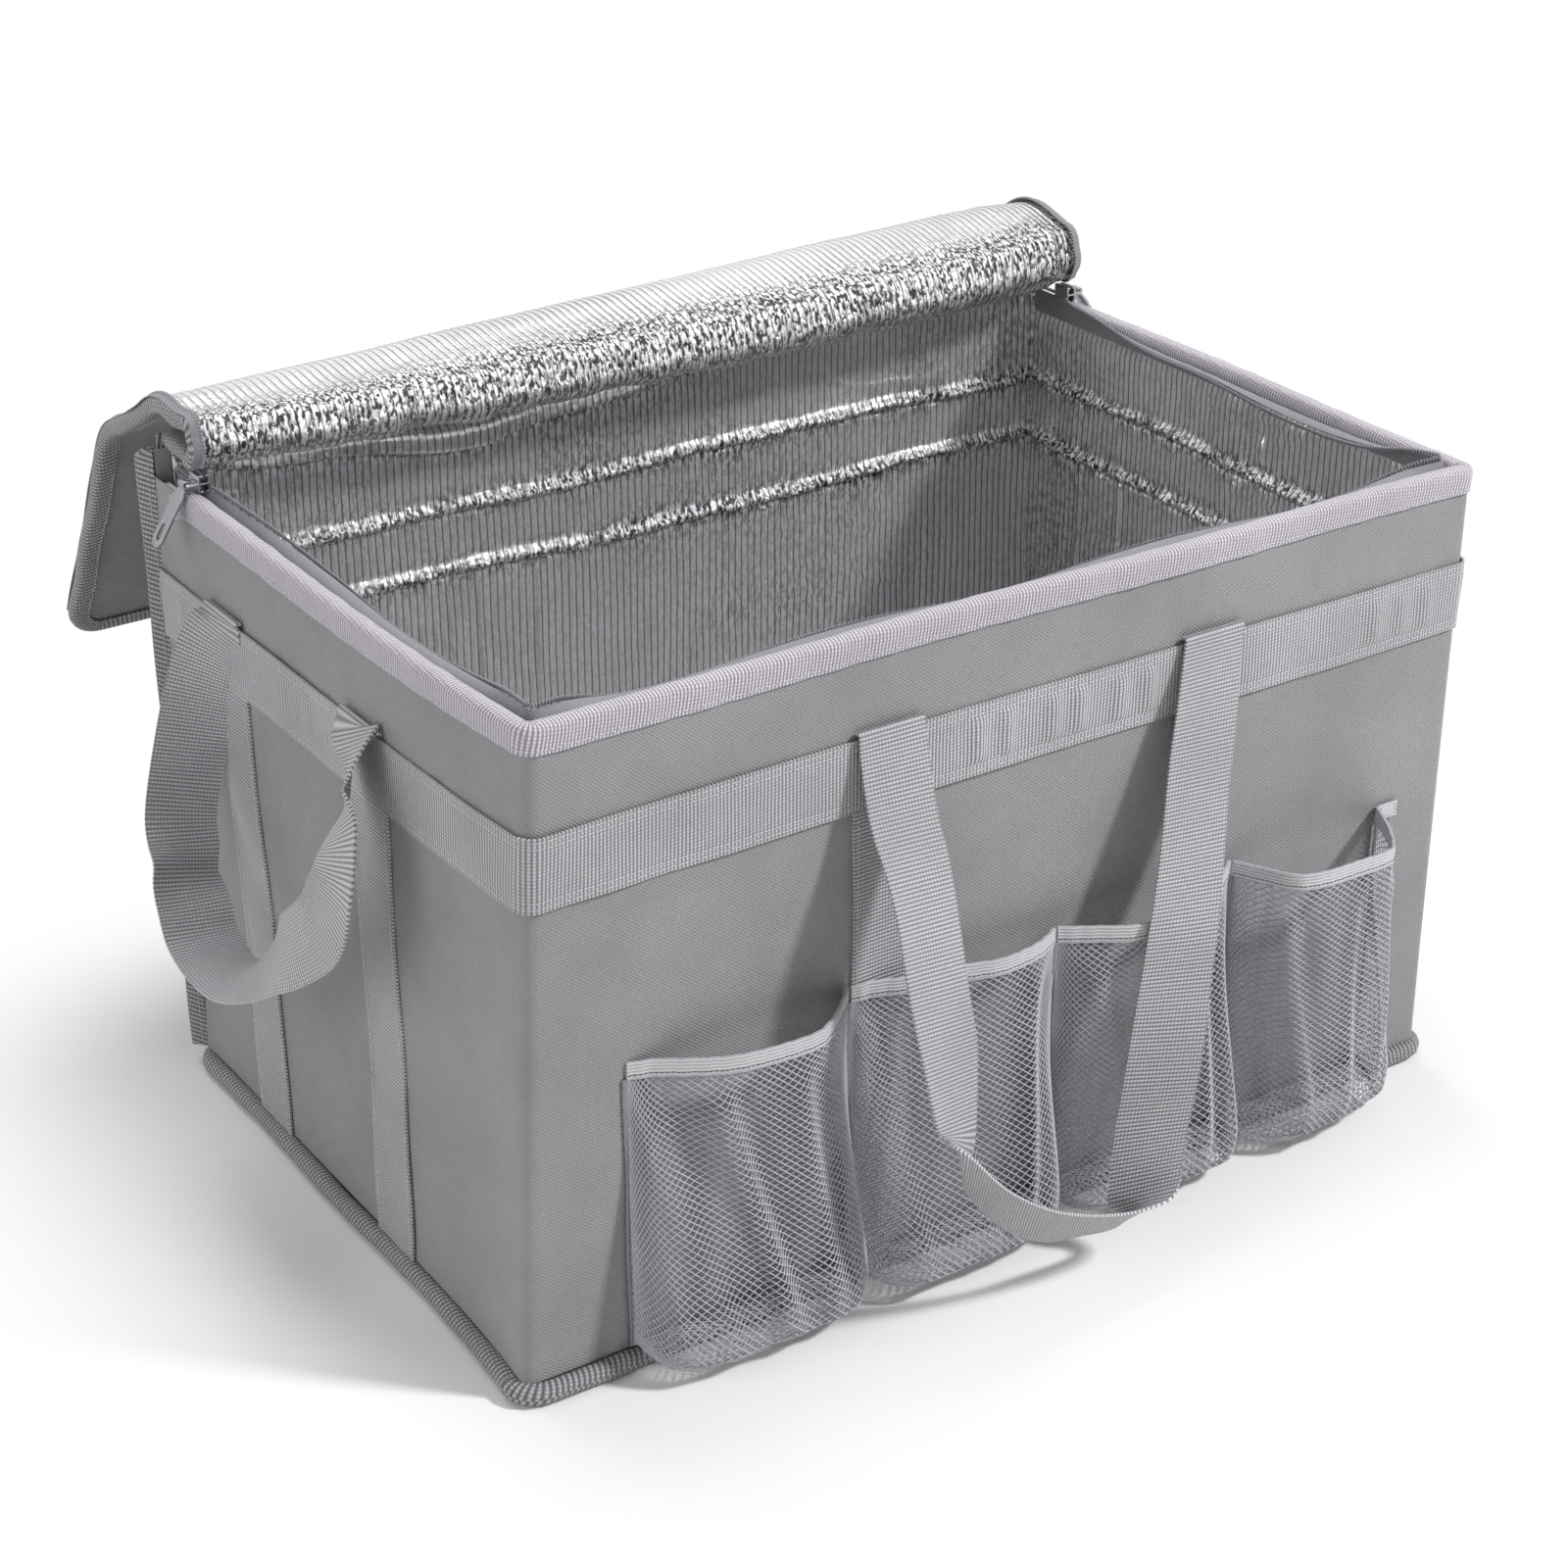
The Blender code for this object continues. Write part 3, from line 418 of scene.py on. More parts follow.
def grid_mesh(name: str, along: Array, across: Array, place: Place, knot: bool = False,
              crumple: Optional[Callable[[Array, Array], Array]] = None) -> bpy.types.Mesh:
    """Return a sheet's mesh: a grid whose points a function places, with a UV map in metres.

    Args:
        name: the mesh's name.
        along: the first coordinate of each column.
        across: the second coordinate of each row.
        place: gives the points for two arrays of coordinates.
        knot: cut every square into a net's diamonds.
        crumple: how crumpled the sheet is at two coordinates, 0 to 1, kept as an attribute.

    Returns:
        The mesh.
    """
    bm = bmesh.new()
    bmesh.ops.create_grid(bm, x_segments=len(along) - 1, y_segments=len(across) - 1, size=0.5)
    if knot:
        square = list(bm.edges)
        bmesh.ops.poke(bm, faces=bm.faces)
        inner = [edge for edge in square if len(edge.link_faces) == 2]
        bmesh.ops.dissolve_edges(bm, edges=inner, use_verts=False, use_face_split=False)
    mesh = mesh_of(name, bm)
    flat = np.zeros(len(mesh.vertices) * 3)
    mesh.vertices.foreach_get("co", flat)
    flat = flat.reshape(-1, 3)
    a = np.interp((flat[:, 0] + 0.5) * (len(along) - 1), np.arange(len(along)), along)
    b = np.interp((flat[:, 1] + 0.5) * (len(across) - 1), np.arange(len(across)), across)
    mesh.vertices.foreach_set("co", np.asarray(place(a, b), float).ravel())
    # The crumple attribute sets the foil's crinkle bump and where it is darkened by painted dark reflections
    if crumple:
        worn = mesh.attributes.new("crumple", "FLOAT", "POINT")
        worn.data.foreach_set("value", np.clip(crumple(a, b), 0, 1))
    corner = np.zeros(len(mesh.loops), int)
    mesh.loops.foreach_get("vertex_index", corner)
    layer = mesh.uv_layers.new(name="UVMap")
    layer.data.foreach_set("uv", np.column_stack([a[corner], b[corner]]).ravel())
    mesh.update()
    return mesh


def scale_uv(mesh: bpy.types.Mesh, sizes: tuple[float, float]) -> None:
    """Bring a UV map whose coordinates are shares to metres.

    Args:
        mesh: the mesh with the map.
        sizes: its two lengths in metres.
    """
    layer = mesh.uv_layers[0]
    flat = np.zeros(len(layer.data) * 2)
    layer.data.foreach_get("uv", flat)
    layer.data.foreach_set("uv", (flat.reshape(-1, 2) * sizes).ravel())


def repeated(name: str, template: bpy.types.Mesh, places: Array) -> bpy.types.Mesh:
    """Return one mesh of many copies of a small one, as for stitches and zip teeth.

    Args:
        name: the new mesh's name.
        template: the small mesh, which is removed.
        places: one 4 by 4 matrix for each copy.

    Returns:
        The mesh.
    """
    local = np.array([(*v.co, 1.0) for v in template.vertices])
    points = np.einsum("kij,vj->kvi", places, local)[..., :3].reshape(-1, 3)
    loops = np.array([l.vertex_index for l in template.loops])
    sizes = np.array([p.loop_total for p in template.polygons])
    copies = len(places)
    mesh = bpy.data.meshes.new(name)
    mesh.vertices.add(len(points))
    mesh.vertices.foreach_set("co", points.ravel())
    mesh.loops.add(len(loops) * copies)
    step = np.repeat(np.arange(copies) * len(local), len(loops))
    mesh.loops.foreach_set("vertex_index", np.tile(loops, copies) + step)
    mesh.polygons.add(len(sizes) * copies)
    starts = np.concatenate([[0], np.cumsum(np.tile(sizes, copies))[:-1]])
    mesh.polygons.foreach_set("loop_start", starts)
    mesh.update(calc_edges=True)
    bpy.data.meshes.remove(template)
    return mesh


def bead(length: float, radius: float, segments: int = 6) -> bpy.types.Mesh:
    """Return a small rounded stitch or tooth that lies along X.

    Args:
        length: how long it is.
        radius: half its thickness.
        segments: how many faces go round it.

    Returns:
        The mesh.
    """
    bm = bmesh.new()
    bmesh.ops.create_uvsphere(bm, u_segments=segments, v_segments=4, radius=0.5)
    bmesh.ops.scale(bm, vec=(2 * radius, 2 * radius, length), verts=bm.verts)
    bmesh.ops.rotate(bm, cent=(0, 0, 0), matrix=Matrix.Rotation(math.pi / 2, 3, "Y"), verts=bm.verts)
    return mesh_of("bead", bm)


def frames(points: Array, normals: Array) -> Array:
    """Return matrices at the middle of each pair of points, with X along the pair and Z near the normal.

    Args:
        points: two points to each pair.
        normals: the direction that faces out at each.

    Returns:
        One 4 by 4 matrix to a pair.
    """
    run = unit(points[1::2] - points[0::2])
    up = upright(normals[0::2], run)
    return placed(run, np.cross(up, run), up, (points[0::2] + points[1::2]) / 2)


def linked(name: str, data: bpy.types.ID) -> bpy.types.Object:
    """Return a linked object of a mesh, a lamp or a camera.

    Args:
        name: the object's name.
        data: what it shows.

    Returns:
        The object.
    """
    made = bpy.data.objects.new(name, data)
    bpy.context.scene.collection.objects.link(made)
    return made


def object_of(mesh: bpy.types.Mesh) -> bpy.types.Object:
    """Return a linked object of a mesh, under its name."""
    return linked(mesh.name, mesh)


def settled(made: bpy.types.Object) -> bpy.types.Object:
    """Apply an object's modifiers to its mesh.

    Args:
        made: the object.

    Returns:
        The same object.
    """
    bpy.context.view_layer.update()
    seen = made.evaluated_get(bpy.context.evaluated_depsgraph_get())
    mesh = bpy.data.meshes.new_from_object(seen)
    made.modifiers.clear()
    old, made.data = made.data, mesh
    mesh.name = made.name
    bpy.data.meshes.remove(old)
    return made


def thickened(made: bpy.types.Object, thickness: float, offset: float = 0.0) -> bpy.types.Object:
    """Give a sheet its thickness, with crisp edges and smooth faces.

    Args:
        made: the sheet.
        thickness: how thick it gets.
        offset: which way it grows, from -1 to 1.

    Returns:
        The same object.
    """
    wall = made.modifiers.new("thickness", "SOLIDIFY")
    wall.thickness = thickness
    wall.offset = offset
    wall.use_even_offset = False
    settled(made)
    made.data.shade_smooth()
    made.data.set_sharp_from_angle(angle=math.radians(55))
    return made


def dress(made: bpy.types.Object, finish: Finish, body: str, *nodes: str) -> bpy.types.Object:
    """Give a finished piece its material and its place among the bodies.

    Args:
        made: the piece.
        finish: what it is made of.
        body: the CAD body that it rides on.
        nodes: the CAD nodes that it stands for.

    Returns:
        The piece.
    """
    made.data.materials.clear()
    made.data.materials.append(finish.material())
    if nodes:
        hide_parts(*nodes)
    if body:
        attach(made, body)
    log.info("%s: %d faces", made.name, len(made.data.polygons))
    return made


def sheet(name: str, along: Array, across: Array, place: Place, thick: float, finish: Finish, body: str,
          *nodes: str, tape: float = 0.0) -> bpy.types.Object:
    """Make a thick sheet of cloth, tape or webbing, and dress it.

    Args:
        name: the piece's name.
        along: the first coordinate of each column.
        across: the second coordinate of each row.
        place: gives the points for two arrays of coordinates.
        thick: the sheet's thickness.
        finish: what it is made of.
        body: the CAD body that it rides on.
        nodes: the CAD nodes that it stands for.
        tape: the width in metres of a tape whose second coordinates are shares of it.

    Returns:
        The piece.
    """
    mesh = grid_mesh(name, along, across, place)
    if tape:
        scale_uv(mesh, (1.0, tape))
    return dress(thickened(object_of(mesh), thick), finish, body, *nodes)


# ---------------------------------------------------------------- the wall that every body piece follows


class Wall:
    """The soft wall's shape. A place on it is a run q from the back left corner and a height z."""

    SAG = Crumple(3, 0.16, 2)
    NEAR_TOP = (0.0075, -0.0045)
    NEAR_FOOT = -0.0065

    @staticmethod
    def plan(q: Array, out: float, radius: float = CORNER) -> tuple[Array, Array]:
        """Return plan points and outward normals.

        Args:
            q: runs along the wall, from the back left corner round the front to the back right.
            out: how far outside the wall's face the line lies.
            radius: the plan radius of the wall's front corners.

        Returns:
            The points and the unit normals, as rows of x and y.
        """
        x, y = HALF_LENGTH + out, HALF_DEPTH + out
        r = max(radius + out, 0.0020)
        t = [np.clip((q - a) / (b - a), 0, 1) for a, b in zip(TURNS, TURNS[1:])]
        one, zero = np.ones_like(q), np.zeros_like(q)
        left = np.column_stack([-x * one, HALF_DEPTH + (r - y - HALF_DEPTH) * t[0], -one, zero])
        turn = math.pi * (1 + t[1] / 2)
        c, s = np.cos(turn), np.sin(turn)
        near = np.column_stack([r - x + r * c, r - y + r * s, c, s])
        front = np.column_stack([(r - x) + 2 * (x - r) * t[2], -y * one, zero, -one])
        turn = math.pi * (1.5 + t[3] / 2)
        c, s = np.cos(turn), np.sin(turn)
        far = np.column_stack([x - r + r * c, r - y + r * s, c, s])
        right = np.column_stack([x * one, (r - y) + (HALF_DEPTH + y - r) * t[4], one, zero])
        which = np.searchsorted(TURNS[1:-1], q, side="right")
        both = np.select([(which == k)[:, None] for k in range(5)], [left, near, front, far, right])
        return both[:, :2], both[:, 2:]

    @classmethod
    def soft(cls, q: Array, z: Array) -> Array:
        """Return how far the whole wall stands in or out of flat.

        Args:
            q: runs along the wall.
            z: heights.

        Returns:
            Distances out of the wall's plane.
        """
        room = np.sin(math.pi * np.clip(z / RIM, 0, 1)) ** 0.7 * fade(q, 0.0, TURNS[-1], 0.04)
        return (0.0019 * cls.SAG(q, z * 1.3) * np.clip(1 - cls.corners(q), 0, 1) - 0.0006) * room

    @staticmethod
    def corners(q: Array) -> Array:
        """Return 1 at the two front corners, falling off beside them."""
        return sum(hump(q, (a + b) / 2, 0.035) for a, b in (TURNS[1:3], TURNS[3:5]))

    @classmethod
    def settle(cls, points: Array) -> Array:
        """Shift points with the lean of the near front corner.

        Args:
            points: rows of x, y and z.

        Returns:
            The shifted points.
        """
        points = np.array(points, float)
        near = np.clip(-points[:, 0] / HALF_LENGTH, 0, 1) ** 3
        near = near * np.clip(-points[:, 1] / HALF_DEPTH, 0, 1) ** 4
        up = np.clip(points[:, 2] / RIM, 0, 1)
        points[:, 0] += near * (cls.NEAR_FOOT + (cls.NEAR_TOP[0] - cls.NEAR_FOOT) * up)
        points[:, 1] += near * cls.NEAR_TOP[1] * up
        return points

    @classmethod
    def at(cls, q: Array, z: Array, out: float | Array = 0.0, lift: float | Array = 0.0,
           radius: float = CORNER) -> Array:
        """Return points on the wall.

        Args:
            q: runs along the wall.
            z: heights.
            out: the layer's distance outside the wall's face, the same for all.
            lift: a further distance out for each point.
            radius: the plan radius of the front corners.

        Returns:
            The points.
        """
        plan, normal = cls.plan(q, out, radius)
        return cls.settle(np.column_stack([plan + normal * (cls.soft(q, z) + lift)[:, None], z]))

    @staticmethod
    def columns(step: float, corner_steps: int = 6, start: float = 0.0, stop: float = TURNS[-1]) -> Array:
        """Return runs along the wall, with more at the corners.

        Args:
            step: the longest step along the flat walls.
            corner_steps: how many steps each front corner has.
            start: the first run.
            stop: the last run.

        Returns:
            The runs, from the first to the last.
        """
        short = CORNER_RUN / corner_steps
        parts = [runs(a, b, s) for a, b, s in zip(TURNS, TURNS[1:], (step, short, step, short, step))]
        whole = np.unique(np.round(np.concatenate(parts), 7))
        inside = whole[(whole > start) & (whole < stop)]
        return np.concatenate([[start], inside, [stop]])

    @staticmethod
    def run_of_front(x: float) -> float:
        """Return the run of a place on the front, from its x."""
        return TURNS[2] + x + HALF_LENGTH - CORNER

    @staticmethod
    def run_of_side(side: Side, y: float) -> float:
        """Return the run of a place on one end, from its y."""
        return HALF_DEPTH - y if side is Side.LEFT else TURNS[4] + y + HALF_DEPTH - CORNER


def sewn(points: Array, normals: Array, pitch: float) -> Array:
    """Return the matrices of a row of stitches.

    Args:
        points: the line, close together.
        normals: the way up from the cloth at each point.
        pitch: the distance between stitches.

    Returns:
        One matrix for each stitch.
    """
    length = arc(points)
    starts = np.arange(int(length[-1] / pitch)) * pitch
    ends = np.sort(np.concatenate([starts + 0.1 * pitch, starts + 0.9 * pitch]))
    return frames(pick(ends, length, points), pick(ends, length, normals))


def stitch_group(name: str, lines: Sequence[tuple[Array, Array]], body: str, finish: Finish = THREAD,
                 pitch: float = 0.0032, radius: float = 0.00030) -> bpy.types.Object:
    """Sew rows of stitches as one piece.

    Args:
        name: the piece's name.
        lines: for each row its points, close together, and the way up from the cloth at each.
        body: the body that the rows ride on.
        finish: the thread.
        pitch: the distance between stitches.
        radius: half the thread's thickness.

    Returns:
        The piece.
    """
    places = np.concatenate([sewn(points, normals, pitch) for points, normals in lines])
    made = object_of(repeated(name, bead(pitch * 0.80, radius), places))
    made.data.shade_smooth()
    return dress(made, finish, body)


def stitches(name: str, points: Array, normals: Array, body: str,
             *thread: Finish | float) -> bpy.types.Object:
    """Sew one row of stitches, with the thread, pitch and radius that a group of rows takes."""
    return stitch_group(name, [(points, normals)], body, *thread)


# ---------------------------------------------------------------- body


@dataclass
class Shell:
    """The cloth, foam and foil of the walls and floor."""

    cloth_step: float = 0.006
    cloth_thick: float = 0.0008
    cloth_top: float = 0.3585
    foam_in: float = 0.0046
    foam_thick: float = 0.0030
    foil_in: float = 0.0077
    foil_step: float = 0.00078
    seam: float = 0.55
    # The back liner's slack top folds over itself along a line: places and heights
    slack: tuple = ((-0.284, 0.362), (-0.245, 0.356), (-0.174, 0.346), (-0.107, 0.338), (-0.035, 0.349),
                    (0.031, 0.354), (0.098, 0.3605), (0.20, 0.366), (0.284, 0.368))
    creases: Crumple = field(default_factory=lambda: Crumple(8, 0.060, 1))
    crinkles: Crumple = field(default_factory=lambda: Crumple(21, 0.020, 4))

    def build(self) -> None:
        """Make every wall and the floor."""
        self.cloth()
        self.foam()
        self.liner()
        self.floor()

    def cloth(self) -> None:
        """The cloth wrap and the back panel, with the soft creases of handling."""
        def place(q: Array, z: Array) -> Array:
            """Place the wrap, creased where it is handled.

            Args:
                q: the run along the wall.
                z: the height.

            Returns:
                The points in metres.
            """
            line = np.clip(1 - np.abs(self.creases(q * 1.1, z * 0.35 + q * 0.3)) / 0.22, 0, 1) ** 1.5
            worn = np.clip(0.35 + 0.9 * Wall.SAG(q + 9, z), 0, 1) * (0.35 + 0.65 * (q < TURNS[1]))
            calm = (1 - hump(z, (BAND_FOOT + BAND_TOP) / 2, 0.028)) * smoothstep((z - BASE_TOP) / 0.02)
            return Wall.at(q, z, -0.0006, -0.0017 * line * worn * calm)

        rows = runs(BASE_TOP, self.cloth_top, self.cloth_step)
        sheet("body_cloth", Wall.columns(self.cloth_step), rows, place, self.cloth_thick, OXFORD, Body.BAG,
              "outer_wrap")

        def back(x: Array, z: Array) -> Array:
            """Place the back panel, with shallow dents."""
            dent = 0.0012 * Wall.SAG(x + 3, z) * np.sin(math.pi * np.clip(z / BACK_TOP, 0, 1))
            return np.column_stack([x, HALF_DEPTH - 0.0010 + np.minimum(dent, 0.0004), z])

        edge = HALF_LENGTH - 0.0012
        sheet("back_cloth", runs(-edge, edge, 0.008), runs(BASE_TOP, BACK_TOP, 0.008), back, self.cloth_thick,
              OXFORD, Body.BAG, "back_panel")

    def foam(self) -> None:
        """The foam between the cloth and the foil."""
        columns = Wall.columns(0.02, 4, 0.006, TURNS[-1] - 0.006)
        made = sheet("wall_foam", columns, runs(BASE_TOP, 0.356, 0.02),
                     lambda q, z: Wall.at(q, z, -self.foam_in), self.foam_thick, FOAM, Body.BAG,
                     "left_foam", "right_foam", "front_foam")

        def back(x: Array, z: Array) -> Array:
            """Place the back's foam, a little narrower above the rim."""
            narrow = 1 - 0.03 * smoothstep((z - 0.340) / 0.01)
            return np.column_stack([x * narrow, 0 * x + HALF_DEPTH - 0.0043, z])

        edge = HALF_LENGTH - 0.0015
        made = sheet("back_wall_foam", runs(-edge, edge, 0.03), runs(BASE_TOP, BACK_TOP - 0.001, 0.012), back,
                     self.foam_thick, FOAM, Body.BAG, "back_foam")

    def relief(self, a: Array, z: Array, straps: Sequence[float]) -> Array:
        """Return the foil's height off its wall: ribs, crinkles and the puckers of the seams sewn through it.

        Args:
            a: places along the wall.
            z: heights.
            straps: where the straps' edges are sewn, along the wall.

        Returns:
            How far the foil stands into the bag.
        """
        ribs = ribbed(a, 0.00042)
        rough = 0.0007 * self.crinkles(a, z * 0.6)
        waves = self.crinkles(a * 1.9 + 5, z * 0.9)
        ridge, near = 0.0 * a, 0.0 * a
        for k, seam in enumerate((BAND_FOOT, BAND_TOP)):
            line = seam + 0.0016 * np.sin(a * 15 + 2 * k) + 0.0009 * np.sin(a * 43 + k)
            ridge = ridge + hump(z, line, 0.0034) * (0.0036 + 0.0022 * waves)
            ridge = ridge - 0.0012 * hump(z, line - 0.0042, 0.0012)
            near = near + hump(z, line, 0.006)
        low = smoothstep((BAND_FOOT - z) / 0.01)
        for x in straps:
            ridge = ridge + low * hump(a, x, 0.0020) * (0.0009 + 0.0008 * waves)
        fold = np.clip(1 - np.abs(self.crinkles(a * 0.10 + 2, z * 0.34 + a * 0.05)) / 0.10, 0, 1) ** 2
        fold = fold * np.clip(Wall.SAG(a * 1.5 + 4, z * 1.5) + 0.2, 0, 1)
        belly = 0.0014 * (Wall.SAG(a * 2, z * 2) + 1)
        whole = ribs * (1 - 0.7 * np.clip(near, 0, 1)) + rough + ridge + belly + 0.0022 * fold
        return np.maximum(whole, -0.0006)

    # This crumple share also sets where the wall foil is darkened by painted dark reflections
    def wear(self, a: Array, z: Array) -> Array:
        """Return how crumpled the walls' foil is: most along its seams, little between.

        Args:
            a: places along the wall.
            z: heights.

        Returns:
            Shares, of which less than 0 and more than 1 are cut off later.
        """
        near = sum(hump(z, seam, 0.007) for seam in (BAND_FOOT, BAND_TOP))
        return 0.15 + 0.30 * np.clip(self.crinkles(a * 0.3, z * 0.3), 0, 1) + 0.8 * near

    @staticmethod
    def levels(top: float, fine: float = 0.0050) -> Array:
        """Return the heights of the foil's rows, close together at its two sewn seams.

        Args:
            top: the last height.
            fine: the longest step above the seams.

        Returns:
            The heights.
        """
        rows = [runs(BASE_TOP + 0.0004, 0.259, 0.0055), runs(0.261, 0.277, 0.0012), runs(0.281, 0.297, 0.004),
                runs(0.299, 0.315, 0.0012), runs(0.319, top, fine)]
        return np.concatenate(rows)

    def liner(self) -> None:
        """The foil on the walls' inner faces."""
        flat_edges = [x + s * WEBBING_HALF for x in FRONT_STRAPS for s in (-1, 1)]
        edges = [Wall.run_of_front(x) for x in flat_edges]
        edges += [Wall.run_of_side(end, y + s * WEBBING_HALF)
                  for end in Side for y in SIDE_STRAPS for s in (-1, 1)]

        def place(q: Array, z: Array) -> Array:
            """Place the wrap's foil, calmer at its top and at its two back ends.

            Args:
                q: the run along the wall.
                z: the height.

            Returns:
                The points in metres.
            """
            calm = smoothstep((0.352 - z) / 0.01)
            away = -self.relief(q, z, edges) * (0.15 + 0.85 * calm)
            away = away * (0.3 + 0.7 * fade(q, 0.0, TURNS[-1], 0.02))
            return Wall.at(q, z, -self.foil_in, away, radius=0.010)

        first, last = 0.0078, TURNS[-1] - 0.0078
        for name, start, stop, nodes in (("liner_left", first, self.seam, ("liner_wrap",)),
                                         ("liner_right", self.seam, last, ())):
            columns = Wall.columns(self.foil_step, 8, start, stop)
            self.film(grid_mesh(name, columns, self.levels(0.3575), place, crumple=self.wear), *nodes)

        def drop(x: Array) -> Array:
            """Return the height of the line over which the slack top folds."""
            return np.interp(x, *zip(*self.slack)) + 0.0015 * np.sin(x * 60)

        def back(x: Array, z: Array) -> Array:
            """Place the back's foil, whose slack top hangs forward.

            Args:
                x: the place along the bag's length.
                z: the height.

            Returns:
                The points in metres.
            """
            away = self.relief(x + 7, z, [e + 7 for e in flat_edges]) * smoothstep((0.372 - z) / 0.02)
            above = (z - drop(x)) / (BACK_TOP - drop(x))
            loose = smoothstep(above / 0.22) * (1 - smoothstep((above - 0.45) / 0.55))
            return np.column_stack([x, 0.1812 - away - 0.42 * (BACK_TOP - drop(x)) * loose, z])

        # This crumple share also sets where the back foil is darkened by painted dark reflections
        def worn(x: Array, z: Array) -> Array:
            """Return how crumpled the back's foil is: also along its fold and its top."""
            fold = 0.6 * hump(z, drop(x) + 0.002, 0.004)
            return self.wear(x, z) + fold + 0.4 * smoothstep((z - 0.362) / 0.008)

        half = HALF_LENGTH - self.foil_in
        self.film(grid_mesh("liner_back_wall", runs(-half, half, self.foil_step),
                            self.levels(BACK_TOP, 0.0018), back, crumple=worn), "liner_back")

    @staticmethod
    def film(mesh: bpy.types.Mesh, *nodes: str) -> None:
        """Make a sheet of the liner's foil from its mesh."""
        mesh.shade_smooth()
        dress(object_of(mesh), FOIL, Body.BAG, *nodes)

    def floor(self) -> None:
        """The foil on the floor."""
        x, y = HALF_LENGTH - self.foil_in, HALF_DEPTH - self.foil_in

        def place(a: Array, b: Array) -> Array:
            """Place the floor's foil, flat along its edges.

            Args:
                a: the place along the bag's length.
                b: the place along its depth.

            Returns:
                The points in metres.
            """
            ribs = ribbed(a, 0.00038)
            rough = 0.0010 * self.crinkles(a, b) + 0.0018 * Wall.SAG(a, b)
            edge = smoothstep((x - np.abs(a)) / 0.02) * smoothstep((y - np.abs(b)) / 0.02)
            return np.column_stack([a, b, BASE_TOP + 0.0004 + (ribs + rough + 0.001) * edge])

        self.film(grid_mesh("liner_floor", runs(-x, x, self.foil_step * 1.3), runs(-y, y, 0.008), place,
                            crumple=lambda a, b: 0.15 + 0.3 * self.crinkles(a * 0.3, b * 0.3)), "liner_base")
        line = runs(BASE_TOP + 0.005, 0.366, 0.003)
        for side in Side:
            x = side.value * (HALF_LENGTH - self.foil_in - 0.0012)
            points = np.column_stack([0 * line + x, 0 * line + 0.1798, line])
            normal = np.tile([-side.value, -1.0, 0.0], (len(line), 1))
            stitches(f"corner_seam_{side.label}", points, normal, Body.BAG, SEAM_THREAD, 0.0045, 0.0006)


